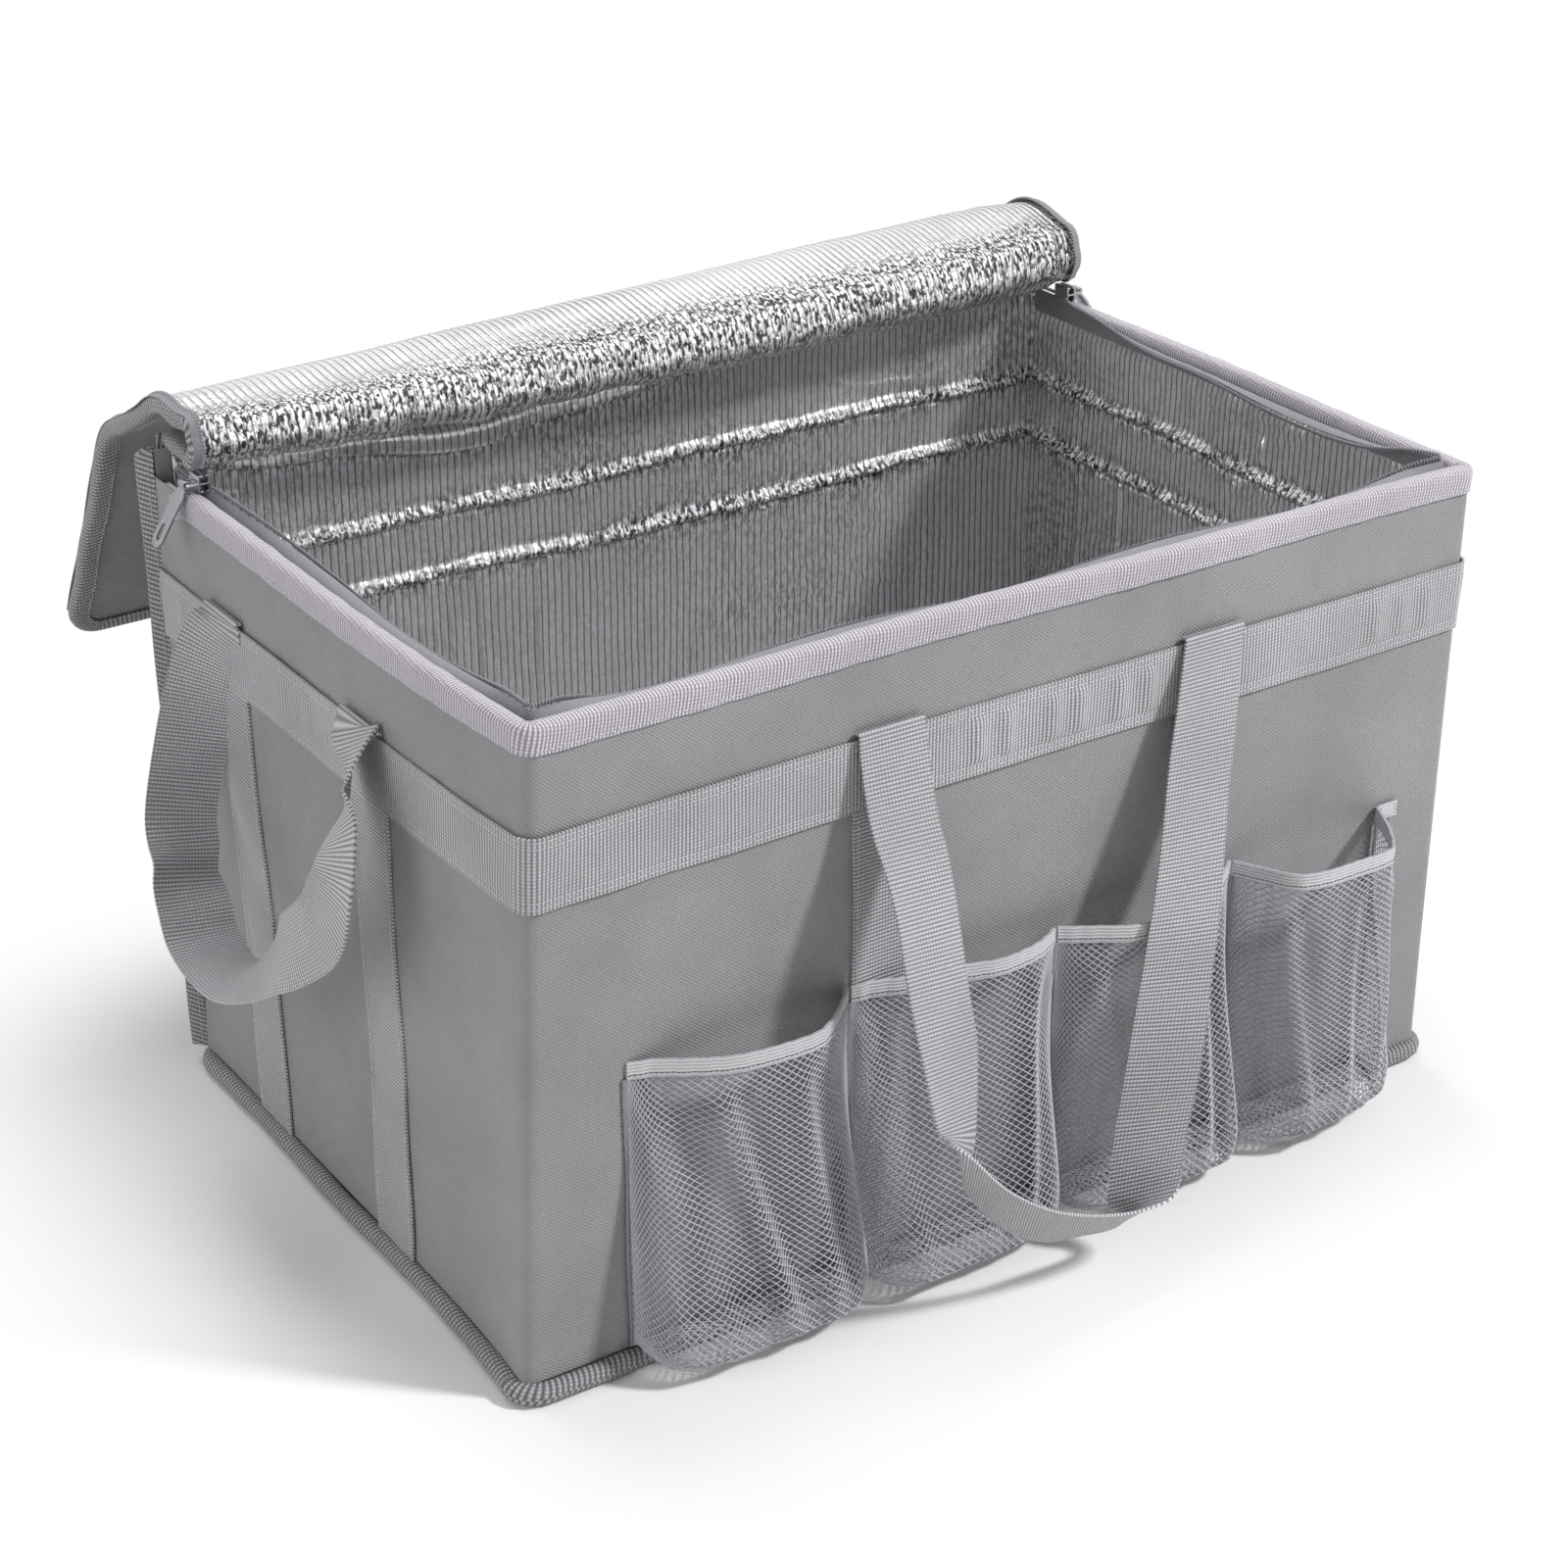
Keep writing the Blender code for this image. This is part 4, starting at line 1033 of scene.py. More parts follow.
@dataclass
class Webbing:
    """The band round the body and the straps that run down from it."""

    thick: float = 0.0012
    face: float = 0.0009
    step: float = 0.003
    stitch_in: tuple[float, float] = (0.0022, 0.0052)
    # The band's rows from its edge to its middle, close together at its stitches
    half_rows: tuple = (0, 0.0011, 0.0022, 0.0033, 0.0042, 0.0052, 0.0062, 0.0085, 0.012, 0.0155)
    across: Array = field(default_factory=lambda: runs(-WEBBING_HALF, WEBBING_HALF, 0.004))
    ripples: Crumple = field(default_factory=lambda: Crumple(31, 0.03, 2))

    def build(self) -> None:
        """Make the band, the straps and the rows of stitches on them."""
        self.band()
        self.side_straps()
        self.front_straps()
        self.back()

    def pucker(self, q: Array, z: Array) -> Array:
        """Return how far the band stands off the cloth in its wrinkles.

        Args:
            q: runs along the wall.
            z: heights.

        Returns:
            Distances out.
        """
        first, last = (Wall.run_of_front(x) for x in FRONT_STRAPS)
        share = (q - first) / (last - first)
        inside = smoothstep((share - 0.15) / 0.1) * smoothstep((0.9 - share) / 0.1)
        folds = sum(hump(share, c, 0.022) for c in (0.27, 0.36, 0.50, 0.58, 0.71, 0.80))
        end = Wall.run_of_front(0.245)
        folds_end = sum(hump(q, end + s, 0.005) for s in (-0.02, 0.0, 0.017))
        left = sum(hump(q, c, 0.006) for c in (0.03, 0.055, 0.145, 0.175))
        from_edge = np.minimum(z - BAND_FOOT, BAND_TOP - z)
        mid = smoothstep((from_edge - self.stitch_in[1]) / 0.005)
        groove = sum(hump(from_edge, inset, 0.0009) for inset in self.stitch_in)
        folds = 0.0022 * folds * inside + 0.0016 * folds_end + 0.0017 * left
        return mid * folds - 0.0003 * groove + 0.0005 * (self.ripples(q, z) + 0.7)

    def band(self) -> None:
        """The band, sewn on along both edges."""
        half = np.array([*self.half_rows, WEBBING_HALF])
        sheet("band", Wall.columns(0.0022), np.concatenate([BAND_FOOT + half, BAND_TOP - half[-2::-1]]),
              lambda q, z: Wall.at(q, z, self.face, self.pucker(q, z)), self.thick, WEBBING, Body.BAG,
              "band_wrap")
        q = Wall.columns(0.002)
        normal = np.column_stack([Wall.plan(q, 0.0)[1], 0 * q])
        rows = []
        for inset in self.stitch_in:
            for z in (BAND_FOOT + inset, BAND_TOP - inset):
                height = np.full_like(q, z)
                away = self.pucker(q, height) + self.thick / 2
                rows.append((Wall.at(q, height, self.face, away), normal))
        stitch_group("band_stitches", rows, Body.BAG)

    def strap(self, name: str, node: str, run: Callable[[Array], Array], foot: float,
              slant: float = 0.0) -> list[tuple[Array, Array]]:
        """Make one strap down the wall.

        Args:
            name: the piece's name.
            node: the CAD node that it stands for.
            run: turns a place across the strap, from its middle, into a run along the wall.
            foot: the height of its lower end.
            slant: how far its foot lies along the wall from its head.

        Returns:
            The lines of its stitches.
        """
        top = BAND_FOOT + 0.001

        def lean(z: Array) -> Array:
            """Return how far along the wall the strap has gone at a height."""
            return slant * (top - z) / (top - foot)

        def place(z: Array, a: Array) -> Array:
            """Place the strap, wavy along its edges.

            Args:
                z: the height.
                a: the place across the strap.

            Returns:
                The points in metres.
            """
            wave = 0.0006 * np.sin(z * 55 + a * 30) * (a / WEBBING_HALF)
            away = 0.0004 * (self.ripples(z + a, a * 2) + 0.6)
            return Wall.at(run(a + lean(z) + wave), z, self.face - 0.0002, away)

        sheet(name, runs(foot, top, 0.006), self.across, place, self.thick, WEBBING, Body.BAG, node)
        z = runs(foot + 0.002, top - 0.002, 0.002)
        rows = []
        for side in (-1, 1):
            a = np.full_like(z, side * (WEBBING_HALF - self.stitch_in[0]))
            q = run(a + lean(z))
            rows.append((Wall.at(q, z, self.face, self.thick / 2 + 0.0003),
                         np.column_stack([Wall.plan(q, 0.0)[1], 0 * z])))
        return rows

    def side_straps(self) -> None:
        """Two straps down each end."""
        rows = []
        for end in Side:
            for y, part, slant in zip(SIDE_STRAPS, ("front", "back"), (0.0, -0.012)):
                rows += self.strap(f"end_strap_{end.label}_{part}", f"strap_{end.label}_{part}",
                                   lambda a, end=end, y=y: Wall.run_of_side(end, 0.0) +
                                   (-1 if end is Side.LEFT else 1) * (a + y), BASE_TOP, slant)
        stitch_group("end_strap_stitches", rows, Body.BAG)

    def front_straps(self) -> None:
        """Two straps down the front."""
        rows = []
        for x, part in zip(FRONT_STRAPS, ("left", "right")):
            rows += self.strap(f"face_strap_{part}", f"strap_front_{part}",
                               lambda a, x=x: Wall.run_of_front(0.0) + a + x, BASE_TOP + 0.003)
        stitch_group("face_strap_stitches", rows, Body.BAG)

    def back(self) -> None:
        """The band and the straps on the back."""
        y = HALF_DEPTH + 0.0009
        edge = HALF_LENGTH - 0.004
        sheet("band_on_back", runs(-edge, edge, 0.004), runs(BAND_FOOT, BAND_TOP, 0.0038),
              lambda x, z: np.column_stack([x, y + 0.0002 * self.ripples(x, z), z]), self.thick, WEBBING,
              Body.BAG, "band_back")
        rows = []
        x = runs(-edge, edge, 0.003)
        out = np.tile([0.0, 1.0, 0.0], (len(x), 1))
        for z in (BAND_FOOT + self.stitch_in[0], BAND_TOP - self.stitch_in[0]):
            rows.append((np.column_stack([x, 0 * x + y + self.thick / 2 + 0.0001, 0 * x + z]), out))
        for middle, part in zip(FRONT_STRAPS, ("left", "right")):
            sheet(f"rear_strap_{part}", runs(BASE_TOP, BAND_FOOT, 0.008), self.across,
                  lambda z, a, x=middle: np.column_stack([x + a, y + 0.0002 * self.ripples(z, a), z]),
                  self.thick, WEBBING, Body.BAG, f"strap_back_{part}")
            z = runs(BASE_TOP + 0.003, BAND_FOOT - 0.002, 0.003)
            for side in (-1, 1):
                a = middle + side * (WEBBING_HALF - self.stitch_in[0])
                rows.append((np.column_stack([0 * z + a, 0 * z + y + self.thick / 2 + 0.0001, z]),
                             np.tile([0.0, 1.0, 0.0], (len(z), 1))))
        stitch_group("rear_stitches", rows, Body.BAG)


@dataclass
class Bindings:
    """The tape over the rim, the bound back corners, the hinge tape and the piping round the base."""

    tape: float = 0.0008
    rim_end: float = 0.168
    rim_in: float = 0.004
    # Distances out from the wall's face and heights
    rim_profile: tuple = ((0.0007, 0.3470), (0.0009, 0.3510), (0.0012, 0.3550), (0.0010, 0.3583),
                          (0.0001, 0.3598), (-0.0018, 0.3606), (-0.0040, 0.3609), (-0.0062, 0.3606),
                          (-0.0077, 0.3595), (-0.0083, 0.3570), (-0.0082, 0.3530), (-0.0081, 0.3480))
    piping_radius: float = 0.0053
    piping_out: float = 0.0021
    fin: float = 0.0108
    fin_thick: float = 0.0016
    fin_top: float = 0.3735
    fin_turn: float = math.radians(48)

    def build(self) -> None:
        """Make every binding."""
        self.rim()
        self.corners()
        self.hinge()
        self.piping()

    def rim(self) -> None:
        """The grosgrain channel over the rim, with its row of stitches."""
        outs, heights = (np.array(v) for v in zip(*self.rim_profile))
        steps = np.concatenate([[0], np.cumsum(np.hypot(np.diff(outs), np.diff(heights)))])
        start, stop = HALF_DEPTH - self.rim_end, TURNS[-1] - (HALF_DEPTH - self.rim_end)

        def place(q: Array, s: Array) -> Array:
            """Place the channel, which sinks at its two ends.

            Args:
                q: the run along the wall.
                s: the step round the channel.

            Returns:
                The points in metres.
            """
            plan, normal = Wall.plan(q, -self.rim_in, 0.0085)
            ripple = 0.00035 * np.sin(q * 210) * np.sin(q * 37)
            out = np.interp(s, steps, outs) + self.rim_in + ripple
            z = np.interp(s, steps, heights) + 0.0006 * np.sin(q * 23)
            z = z - 0.005 * (1 - fade(q, start, stop, 0.02))
            return Wall.settle(np.column_stack([plan + normal * out[:, None], z]))

        sheet("rim_tape", Wall.columns(0.004, 8, start, stop), steps, place, self.tape, RIM_TAPE, Body.BAG,
              "rim_binding")
        q = Wall.columns(0.002, 6, start + 0.004, stop - 0.004)
        points = place(q, np.full_like(q, steps[1] * 0.55))
        normal = np.column_stack([Wall.plan(q, 0.0)[1], 0 * q])
        stitches("rim_stitches", points + normal * 0.0005, normal, Body.BAG)

    def corners(self) -> None:
        """The bound seams that stand out at the two back corners."""
        for side in Side:
            def place(z: Array, s: Array, side: Side = side) -> Array:
                """Place the folded tape: one face up to s 1, the fold up to 2, the other face up to 3.

                Args:
                    z: the height.
                    s: the step round the tape.
                    side: the side of the bag.

                Returns:
                    The points in metres.
                """
                turn = np.clip(s - 1, 0, 1) * math.pi
                rounded = np.sqrt(np.clip(1 - np.clip((z - self.fin_top + 0.004) / 0.004, 0, 1) ** 2, 0, 1))
                flat = np.where(s < 1, s, np.where(s > 2, 3 - s, 1)) * (self.fin - self.fin_thick)
                deep = (flat + self.fin_thick * np.sin(turn)) * (0.55 + 0.45 * rounded)
                wander = 0.0006 * np.sin(z * 60 + side.value) + 0.0005 * np.sin(z * 23)
                over = self.fin_thick * np.cos(turn) + wander
                across, out = math.cos(self.fin_turn), math.sin(self.fin_turn)
                x = side.value * (HALF_LENGTH - 0.0020 + deep * across + over * out)
                return np.column_stack([x, HALF_DEPTH + 0.0004 + deep * out - over * across, z])

            shares = np.concatenate([[0, 0.25, 0.5, 0.75], np.linspace(1, 2, 7), [2.25, 2.5, 2.75, 3]])
            sheet(f"corner_tape_{side.label}", runs(BASE_TOP, self.fin_top, 0.004), shares, place, 0.0007,
                  EDGE_TAPE, Body.BAG, f"corner_binding_{side.label}", tape=self.fin)
            z = runs(BASE_TOP + 0.003, 0.366, 0.002)
            points = place(z, np.full_like(z, 0.35))
            normal = np.tile([side.value * 0.8, -0.6, 0.0], (len(z), 1))
            stitches(f"corner_tape_stitches_{side.label}", points + normal * 0.0006, normal, Body.BAG)

    def hinge(self) -> None:
        """The tape that joins the back panel's top to the lid."""
        edge = HALF_LENGTH - 0.004
        sheet("hinge_strip", runs(-edge, edge, 0.006), runs(0.3534, 0.3812, 0.004),
              lambda x, z: np.column_stack([x, HALF_DEPTH + 0.0008 + 0.0003 * np.sin(x * 60), z]), self.tape,
              EDGE_TAPE, Body.BAG, "hinge_tape")

    def piping(self) -> None:
        """The ribbed piping round the bottom edge."""
        r = self.piping_radius
        x, y, corner = HALF_LENGTH + self.piping_out, HALF_DEPTH + self.piping_out, 0.014
        line, normals = [], []
        for sx, sy, start in ((-1, -1, math.pi), (1, -1, 1.5 * math.pi), (1, 1, 0.0), (-1, 1, 0.5 * math.pi)):
            for t in np.linspace(0, math.pi / 2, 9):
                c, s = math.cos(start + t), math.sin(start + t)
                line.append((sx * (x - corner) + corner * c, sy * (y - corner) + corner * s))
                normals.append((c, s))
        line, normals = np.array(line + line[:1]), np.array(normals + normals[:1])
        step = arc(line)

        def place(s: Array, turn: Array) -> Array:
            """Place the round piping, lumpy and wandering a little.

            Args:
                s: the run along the piping.
                turn: the length round it.

            Returns:
                The points in metres.
            """
            plan, out = pick(s, step, line), unit(pick(s, step, normals))
            angle = turn / r
            lump = r * (1 + 0.03 * np.sin(s * 130) + 0.02 * np.sin(s * 57))
            wander = 0.0008 * np.sin(s * 19) + 0.0006 * np.sin(s * 41)
            z = np.maximum(r + lump * np.sin(angle), 0.0)
            return Wall.settle(np.column_stack([plan + out * (lump * np.cos(angle) + wander)[:, None], z]))

        mesh = grid_mesh("base_cord", runs(0, step[-1], 0.005), np.linspace(0, 2 * math.pi * r, 15), place)
        self._weld(mesh)
        dress(object_of(mesh), EDGE_TAPE, Body.BAG, "base_piping")

    @staticmethod
    def _weld(mesh: bpy.types.Mesh) -> None:
        """Close a tube whose first and last rows meet.

        Args:
            mesh: the tube.
        """
        bm = bmesh.new()
        bm.from_mesh(mesh)
        bmesh.ops.remove_doubles(bm, verts=bm.verts, dist=0.00005)
        bmesh.ops.recalc_face_normals(bm, faces=bm.faces)
        bm.to_mesh(mesh)
        bm.free()
        mesh.shade_smooth()


# ---------------------------------------------------------------- pockets


@dataclass
class Pockets:
    """Four net pockets in a row on the front."""

    ends: tuple[float, float] = (-0.238, 0.242)
    beside: float = 0.0025
    top: float = 0.1655
    foot: float = 0.0119
    bulge: float = 0.0435
    edge: float = 0.0092
    cell: float = 0.0041
    thread: float = 0.00100
    heights: tuple = (0.0, 0.015, 0.035, 0.07, 0.14, 0.28, 0.45, 0.62, 0.80, 1.0)
    depths: tuple = (0.0, 0.28, 0.70, 0.92, 1.0, 1.0, 0.97, 0.92, 0.85, 0.78)
    sags: tuple = (0.0, 0.0, 1.0, 0.8, 0.4, 0.1, 0.0, 0.0, 0.0, 0.0)
    # Each mouth: shares of the pocket's width and millimetres off the wall
    mouths: tuple = (
        ((0, 0), (0.1, 4), (0.2, 12), (0.35, 22), (0.5, 26), (0.7, 27), (0.8, 22), (0.9, 12), (1, 0)),
        ((0, 0), (0.12, 2), (0.25, 8), (0.5, 14), (0.65, 19), (0.8, 18), (0.9, 15), (1, 9)),
        ((0, 9), (0.15, 20), (0.3, 30), (0.5, 30), (0.7, 24), (0.85, 15), (1, 3)),
        ((0, 4), (0.06, 16), (0.16, 34), (0.3, 40), (0.5, 41), (0.72, 41), (0.8, 35), (0.9, 20), (1, 0)))
    # Each pocket's folds: shares of its width at the mouth and at the foot, and millimetres high
    folds: tuple = (
        ((0.28, 0.70, 7), (0.62, 0.80, 4), (0.02, 0.42, 3)),
        ((0.30, 0.62, 5), (0.88, 0.50, 4), (0.05, 0.25, 4)),
        ((0.12, 0.40, 4), (0.72, 0.60, 5), (0.95, 0.75, 3)),
        ((0.10, 0.34, 5), (0.86, 0.62, 6), (0.50, 0.52, 3)))
    seam_off: tuple = (0.0, 0.0, 0.009, 0.004, 0.0)
    tab_long: float = 0.013

    def build(self) -> None:
        """Make each pocket's net, its elastic edge and the seams between pockets."""
        beside = WEBBING_HALF + self.beside
        inner = (FRONT_STRAPS[0] - beside, sum(FRONT_STRAPS) / 2, FRONT_STRAPS[1] + beside)
        seams = (self.ends[0], *inner, self.ends[1])
        for k, (left, right) in enumerate(zip(seams, seams[1:])):
            self.net(k + 1, left + 0.001, right - 0.001)
        self.seams(seams)

    @staticmethod
    def eased(count: int) -> Array:
        """Return places from 0 to 1, close together at both ends."""
        return 0.5 - 0.5 * np.cos(np.linspace(0, math.pi, count))

    @staticmethod
    def full(u: Array) -> Array:
        """Return how far out the net stands across a pocket."""
        return np.sqrt(np.clip(1 - np.abs(2 * u - 1) ** 6, 0, 1))

    def surface(self, k: int, left: float, right: float, u: Array, v: Array) -> Array:
        """Return points on a pocket.

        Args:
            k: which pocket, from 1.
            left: its left seam.
            right: its right seam.
            u: shares of its width.
            v: lengths of net from its bottom seam, as shares of the whole.

        Returns:
            The points.
        """
        row = v * (len(self.heights) - 1)
        index = np.arange(len(self.heights))
        height, depth, sag = (np.interp(row, index, t) for t in (self.heights, self.depths, self.sags))
        full = self.full(u)
        table = spline(np.array(self.mouths[k - 1], float), 120)
        mouth = np.interp(u, table[:, 0], table[:, 1]) * MM
        open_up = smoothstep((v - 0.35) / 0.6)
        stand = self.bulge * depth * full * (1 - open_up) + mouth * open_up
        drape = Crumple(40 + k, 0.16, 2)
        loose = smoothstep((v - 0.15) / 0.30) * smoothstep((1.0 - v) / 0.12) * full
        fold = 0.0050 * drape(u * 0.55 + 0.12 * v, v * 0.18) * loose
        for top, foot, high in self.folds[k - 1]:
            line = foot + (top - foot) * v
            ridge = hump(u, line, 0.055) - 0.6 * hump(u, line + 0.10, 0.055)
            fold = fold + high * MM * ridge * smoothstep((v - 0.26) / 0.25) * smoothstep((1.0 - v) / 0.08)
        y = -HALF_DEPTH - 0.0010 - np.maximum(stand + np.minimum(fold * (0.25 + 0.75 * full), 0.0065), 0)
        z = self.foot + (self.top - self.foot) * height - 0.0115 * sag * full
        x = left + (right - left) * u + 0.002 * drape(v * 0.2 + 3, u * 0.3) * loose
        return np.column_stack([x, y, np.maximum(z, 0.0006)])

    def net(self, k: int, left: float, right: float) -> None:
        """One pocket's net and its bound mouth.

        Args:
            k: which pocket, from 1.
            left: its left seam.
            right: its right seam.
        """
        width = (right - left) * 1.28
        length = (self.top - self.foot) + self.bulge * 1.05
        columns, rows = int(width / self.cell), int(length / self.cell)
        u = self.eased(200)
        profile = np.concatenate([[0], np.cumsum(np.hypot(
            np.diff(u) * (right - left), np.diff(self.full(u)) * self.bulge))])
        even_u = np.interp(np.linspace(0, profile[-1], columns + 1), profile, u)
        v = np.linspace(0, 1, 200)
        last = len(self.heights) - 1
        height, depth = (np.interp(v * last, np.arange(last + 1), t) for t in (self.heights, self.depths))
        climb = np.concatenate([[0], np.cumsum(np.hypot(
            np.diff(height) * (self.top - self.foot), np.diff(depth) * self.bulge))])
        even_v = np.interp(np.linspace(0, climb[-1], rows + 1), climb, v)
        made = object_of(grid_mesh(f"net_{k}", even_u, even_v,
                                   lambda a, b: self.surface(k, left, right, a, b), knot=True))
        strands = made.modifiers.new("strands", "WIREFRAME")
        strands.thickness = self.thread
        strands.use_even_offset = False
        strands.use_boundary = True
        settled(made)
        made.data.shade_smooth()
        dress(made, NET, Body.BAG, f"pocket_mesh_{k}")

        def mouth(a: Array, b: Array) -> Array:
            """Place the elastic tape that binds the mouth.

            Args:
                a: the place along the mouth.
                b: the height over its edge.

            Returns:
                The points in metres.
            """
            points = self.surface(k, left, right, a, 1 + 0 * a)
            points[:, 2] = self.top + b
            points[:, 1] += 0.0003 * np.sin(a * 90) - 0.0003
            return points

        mesh = grid_mesh(f"mouth_tape_{k}", self.eased(61), runs(-0.0005, self.edge - 0.0005, 0.0012), mouth)
        scale_uv(mesh, (profile[-1], 1.0))
        dress(thickened(object_of(mesh), 0.0016), ELASTIC, Body.BAG, f"pocket_edge_{k}")
        line = mouth(u, np.full_like(u, 0.0017))
        tangent = np.gradient(line, axis=0)
        normal = unit(np.column_stack([tangent[:, 1], -tangent[:, 0], 0 * u]))
        line = line + normal * 0.0009
        stitches(f"mouth_stitches_{k}", line, normal, Body.BAG, SEAM_THREAD, 0.0026, 0.00024)

    def seams(self, seams: Sequence[float]) -> None:
        """The folded net that is sewn down beside each pocket.

        Args:
            seams: where the seams stand.
        """
        for k, x in enumerate(seams):
            def place(z: Array, a: Array, x: float = x, off: float = self.seam_off[k]) -> Array:
                """Place the seam, which stands off the wall towards its top where the net pulls it.

                Args:
                    z: the height.
                    a: the place across the seam.
                    x: where the seam stands.
                    off: how far its top stands off.

                Returns:
                    The points in metres.
                """
                swell = 0.0006 * np.cos(a / 0.0014 * math.pi / 2) + 0.0002 * np.sin(z * 900)
                y = -HALF_DEPTH - 0.0012 - swell - off * smoothstep((z / self.top - 0.45) / 0.55)
                return np.column_stack([x + a + 0.0004 * np.sin(z * 70), y, z])

            sheet(f"pocket_seam_{k + 1}", runs(self.foot, self.top, 0.0012), runs(-0.0013, 0.0013, 0.0006),
                  place, 0.0006, NET_SEAM, Body.BAG)
        self.tab(seams[-1])

    def tab(self, x: float) -> None:
        """The end of the row's elastic, turned back and sewn to the wall at x as a small tab.

        Args:
            x: where the tab is sewn.
        """
        long, wide, inset = self.tab_long, self.edge, 0.0012
        sheet("mouth_tab", runs(-0.001, long, 0.001), runs(0, wide, 0.0012),
              lambda a, b: np.column_stack([x + a, 0 * a - HALF_DEPTH - 0.0014, self.top + b]), 0.0010,
              ELASTIC, Body.BAG)
        corners = [(inset, inset), (long - inset, inset), (long - inset, wide - inset), (inset, wide - inset)]
        rows = []
        for (a, b), (c, d) in zip(corners, corners[1:] + corners[:1]):
            t = np.linspace(0, 1, 12)
            line = np.column_stack([x + a + (c - a) * t, 0 * t - HALF_DEPTH - 0.0021,
                                    self.top + b + (d - b) * t])
            rows.append((line, np.tile([0.0, -1.0, 0.0], (len(t), 1))))
        stitch_group("mouth_tab_stitches", rows, Body.BAG, pitch=0.0022)


# ---------------------------------------------------------------- handles


@dataclass(frozen=True)
class Handle:
    """One carrying loop of webbing.

    Its local X runs along the wall from the left root to the right one as seen from outside, local Y
    points out and Z up, from the line that it swings about. Each row holds, in millimetres, the middle
    of the webbing (along, out, below the roots) and, in degrees, how the line from its one edge to the
    other lies: turned out from the wall, and tilted up. The line is brought square to the webbing's run,
    unless square is False, as where the webbing folds slantwise over itself.
    """

    name: str
    node: str
    rows: tuple
    place: Matrix
    seed: int
    steps: int = 170
    thick: float = 0.0015
    root_radius: float = 0.0014
    root_turn: float = math.radians(171)
    ripple: float = 0.0012
    square: bool = True

    def build(self) -> None:
        """Make the loop's webbing."""
        table = spline(np.array(self.rows, float), self.steps)
        centre = table[:, :3] * (1, 1, -1) * MM + (0, self.root_radius, 0)
        slew, tilt = np.radians(table[:, 3]), np.radians(table[:, 4])
        across = np.column_stack([np.cos(slew) * np.cos(tilt), np.sin(slew) * np.cos(tilt), np.sin(tilt)])
        tangent = unit(np.gradient(centre, axis=0))
        if self.square:
            across = upright(across, tangent)
        lift = np.cross(across, tangent)
        length = arc(centre)
        total = length[-1]
        noise = Crumple(self.seed, 0.045, 2)

        def local(s: Array, a: Array) -> Array:
            """Return points in the loop's own frame, with both ends rolled round their roots.

            Args:
                s: the run along the loop.
                a: the place across it.

            Returns:
                The points in metres.
            """
            middle, side, up = (pick(s, length, rows) for rows in (centre, across, lift))
            wave = noise(s, a * 0.8) + 0.9 * noise(s * 0.6 + 3, 0 * a) * a / WEBBING_HALF
            wave = self.ripple * wave * fade(s, 0.0, total, 0.03)
            points = middle + side * a[:, None] + up * wave[:, None]
            for beyond, x, sign in ((-s, self.rows[0][0], 1), (s - total, self.rows[-1][0], -1)):
                turn = np.clip(beyond, 0, None) / self.root_radius
                ring = np.column_stack([x * MM + sign * a, self.root_radius * np.cos(turn),
                                        self.root_radius * np.sin(turn)])
                points = np.where((beyond > 0)[:, None], ring, points)
            return points

        def place(s: Array, a: Array) -> Array:
            """Return points in the CAD's frame."""
            matrix = np.array(self.place)
            return local(s, a) @ matrix[:3, :3].T + matrix[:3, 3]

        roll = np.linspace(0, self.root_radius * self.root_turn, 7)[1:]
        s = np.concatenate([-roll[::-1], runs(0, total, 0.0030), total + roll])
        sheet(self.name, s, runs(-WEBBING_HALF, WEBBING_HALF, 0.0030), place, self.thick, WEBBING, self.node,
              self.node)


def spline(points: Array, steps: int) -> Array:
    """Return rows on a Catmull-Rom curve through rows of numbers.

    Args:
        points: the rows.
        steps: how many even steps to take along them.

    Returns:
        One row more than there are steps.
    """
    padded = np.vstack([2 * points[0] - points[1], points, 2 * points[-1] - points[-2]])
    spans = len(points) - 1
    place = np.linspace(0, spans, steps + 1)
    k = np.minimum(place.astype(int), spans - 1)
    t = (place - k)[:, None]
    a, b, c, d = (padded[k + i] for i in range(4))
    square, cube = 2 * a - 5 * b + 4 * c - d, 3 * b - a - 3 * c + d
    return 0.5 * (2 * b + (c - a) * t + square * t ** 2 + cube * t ** 3)


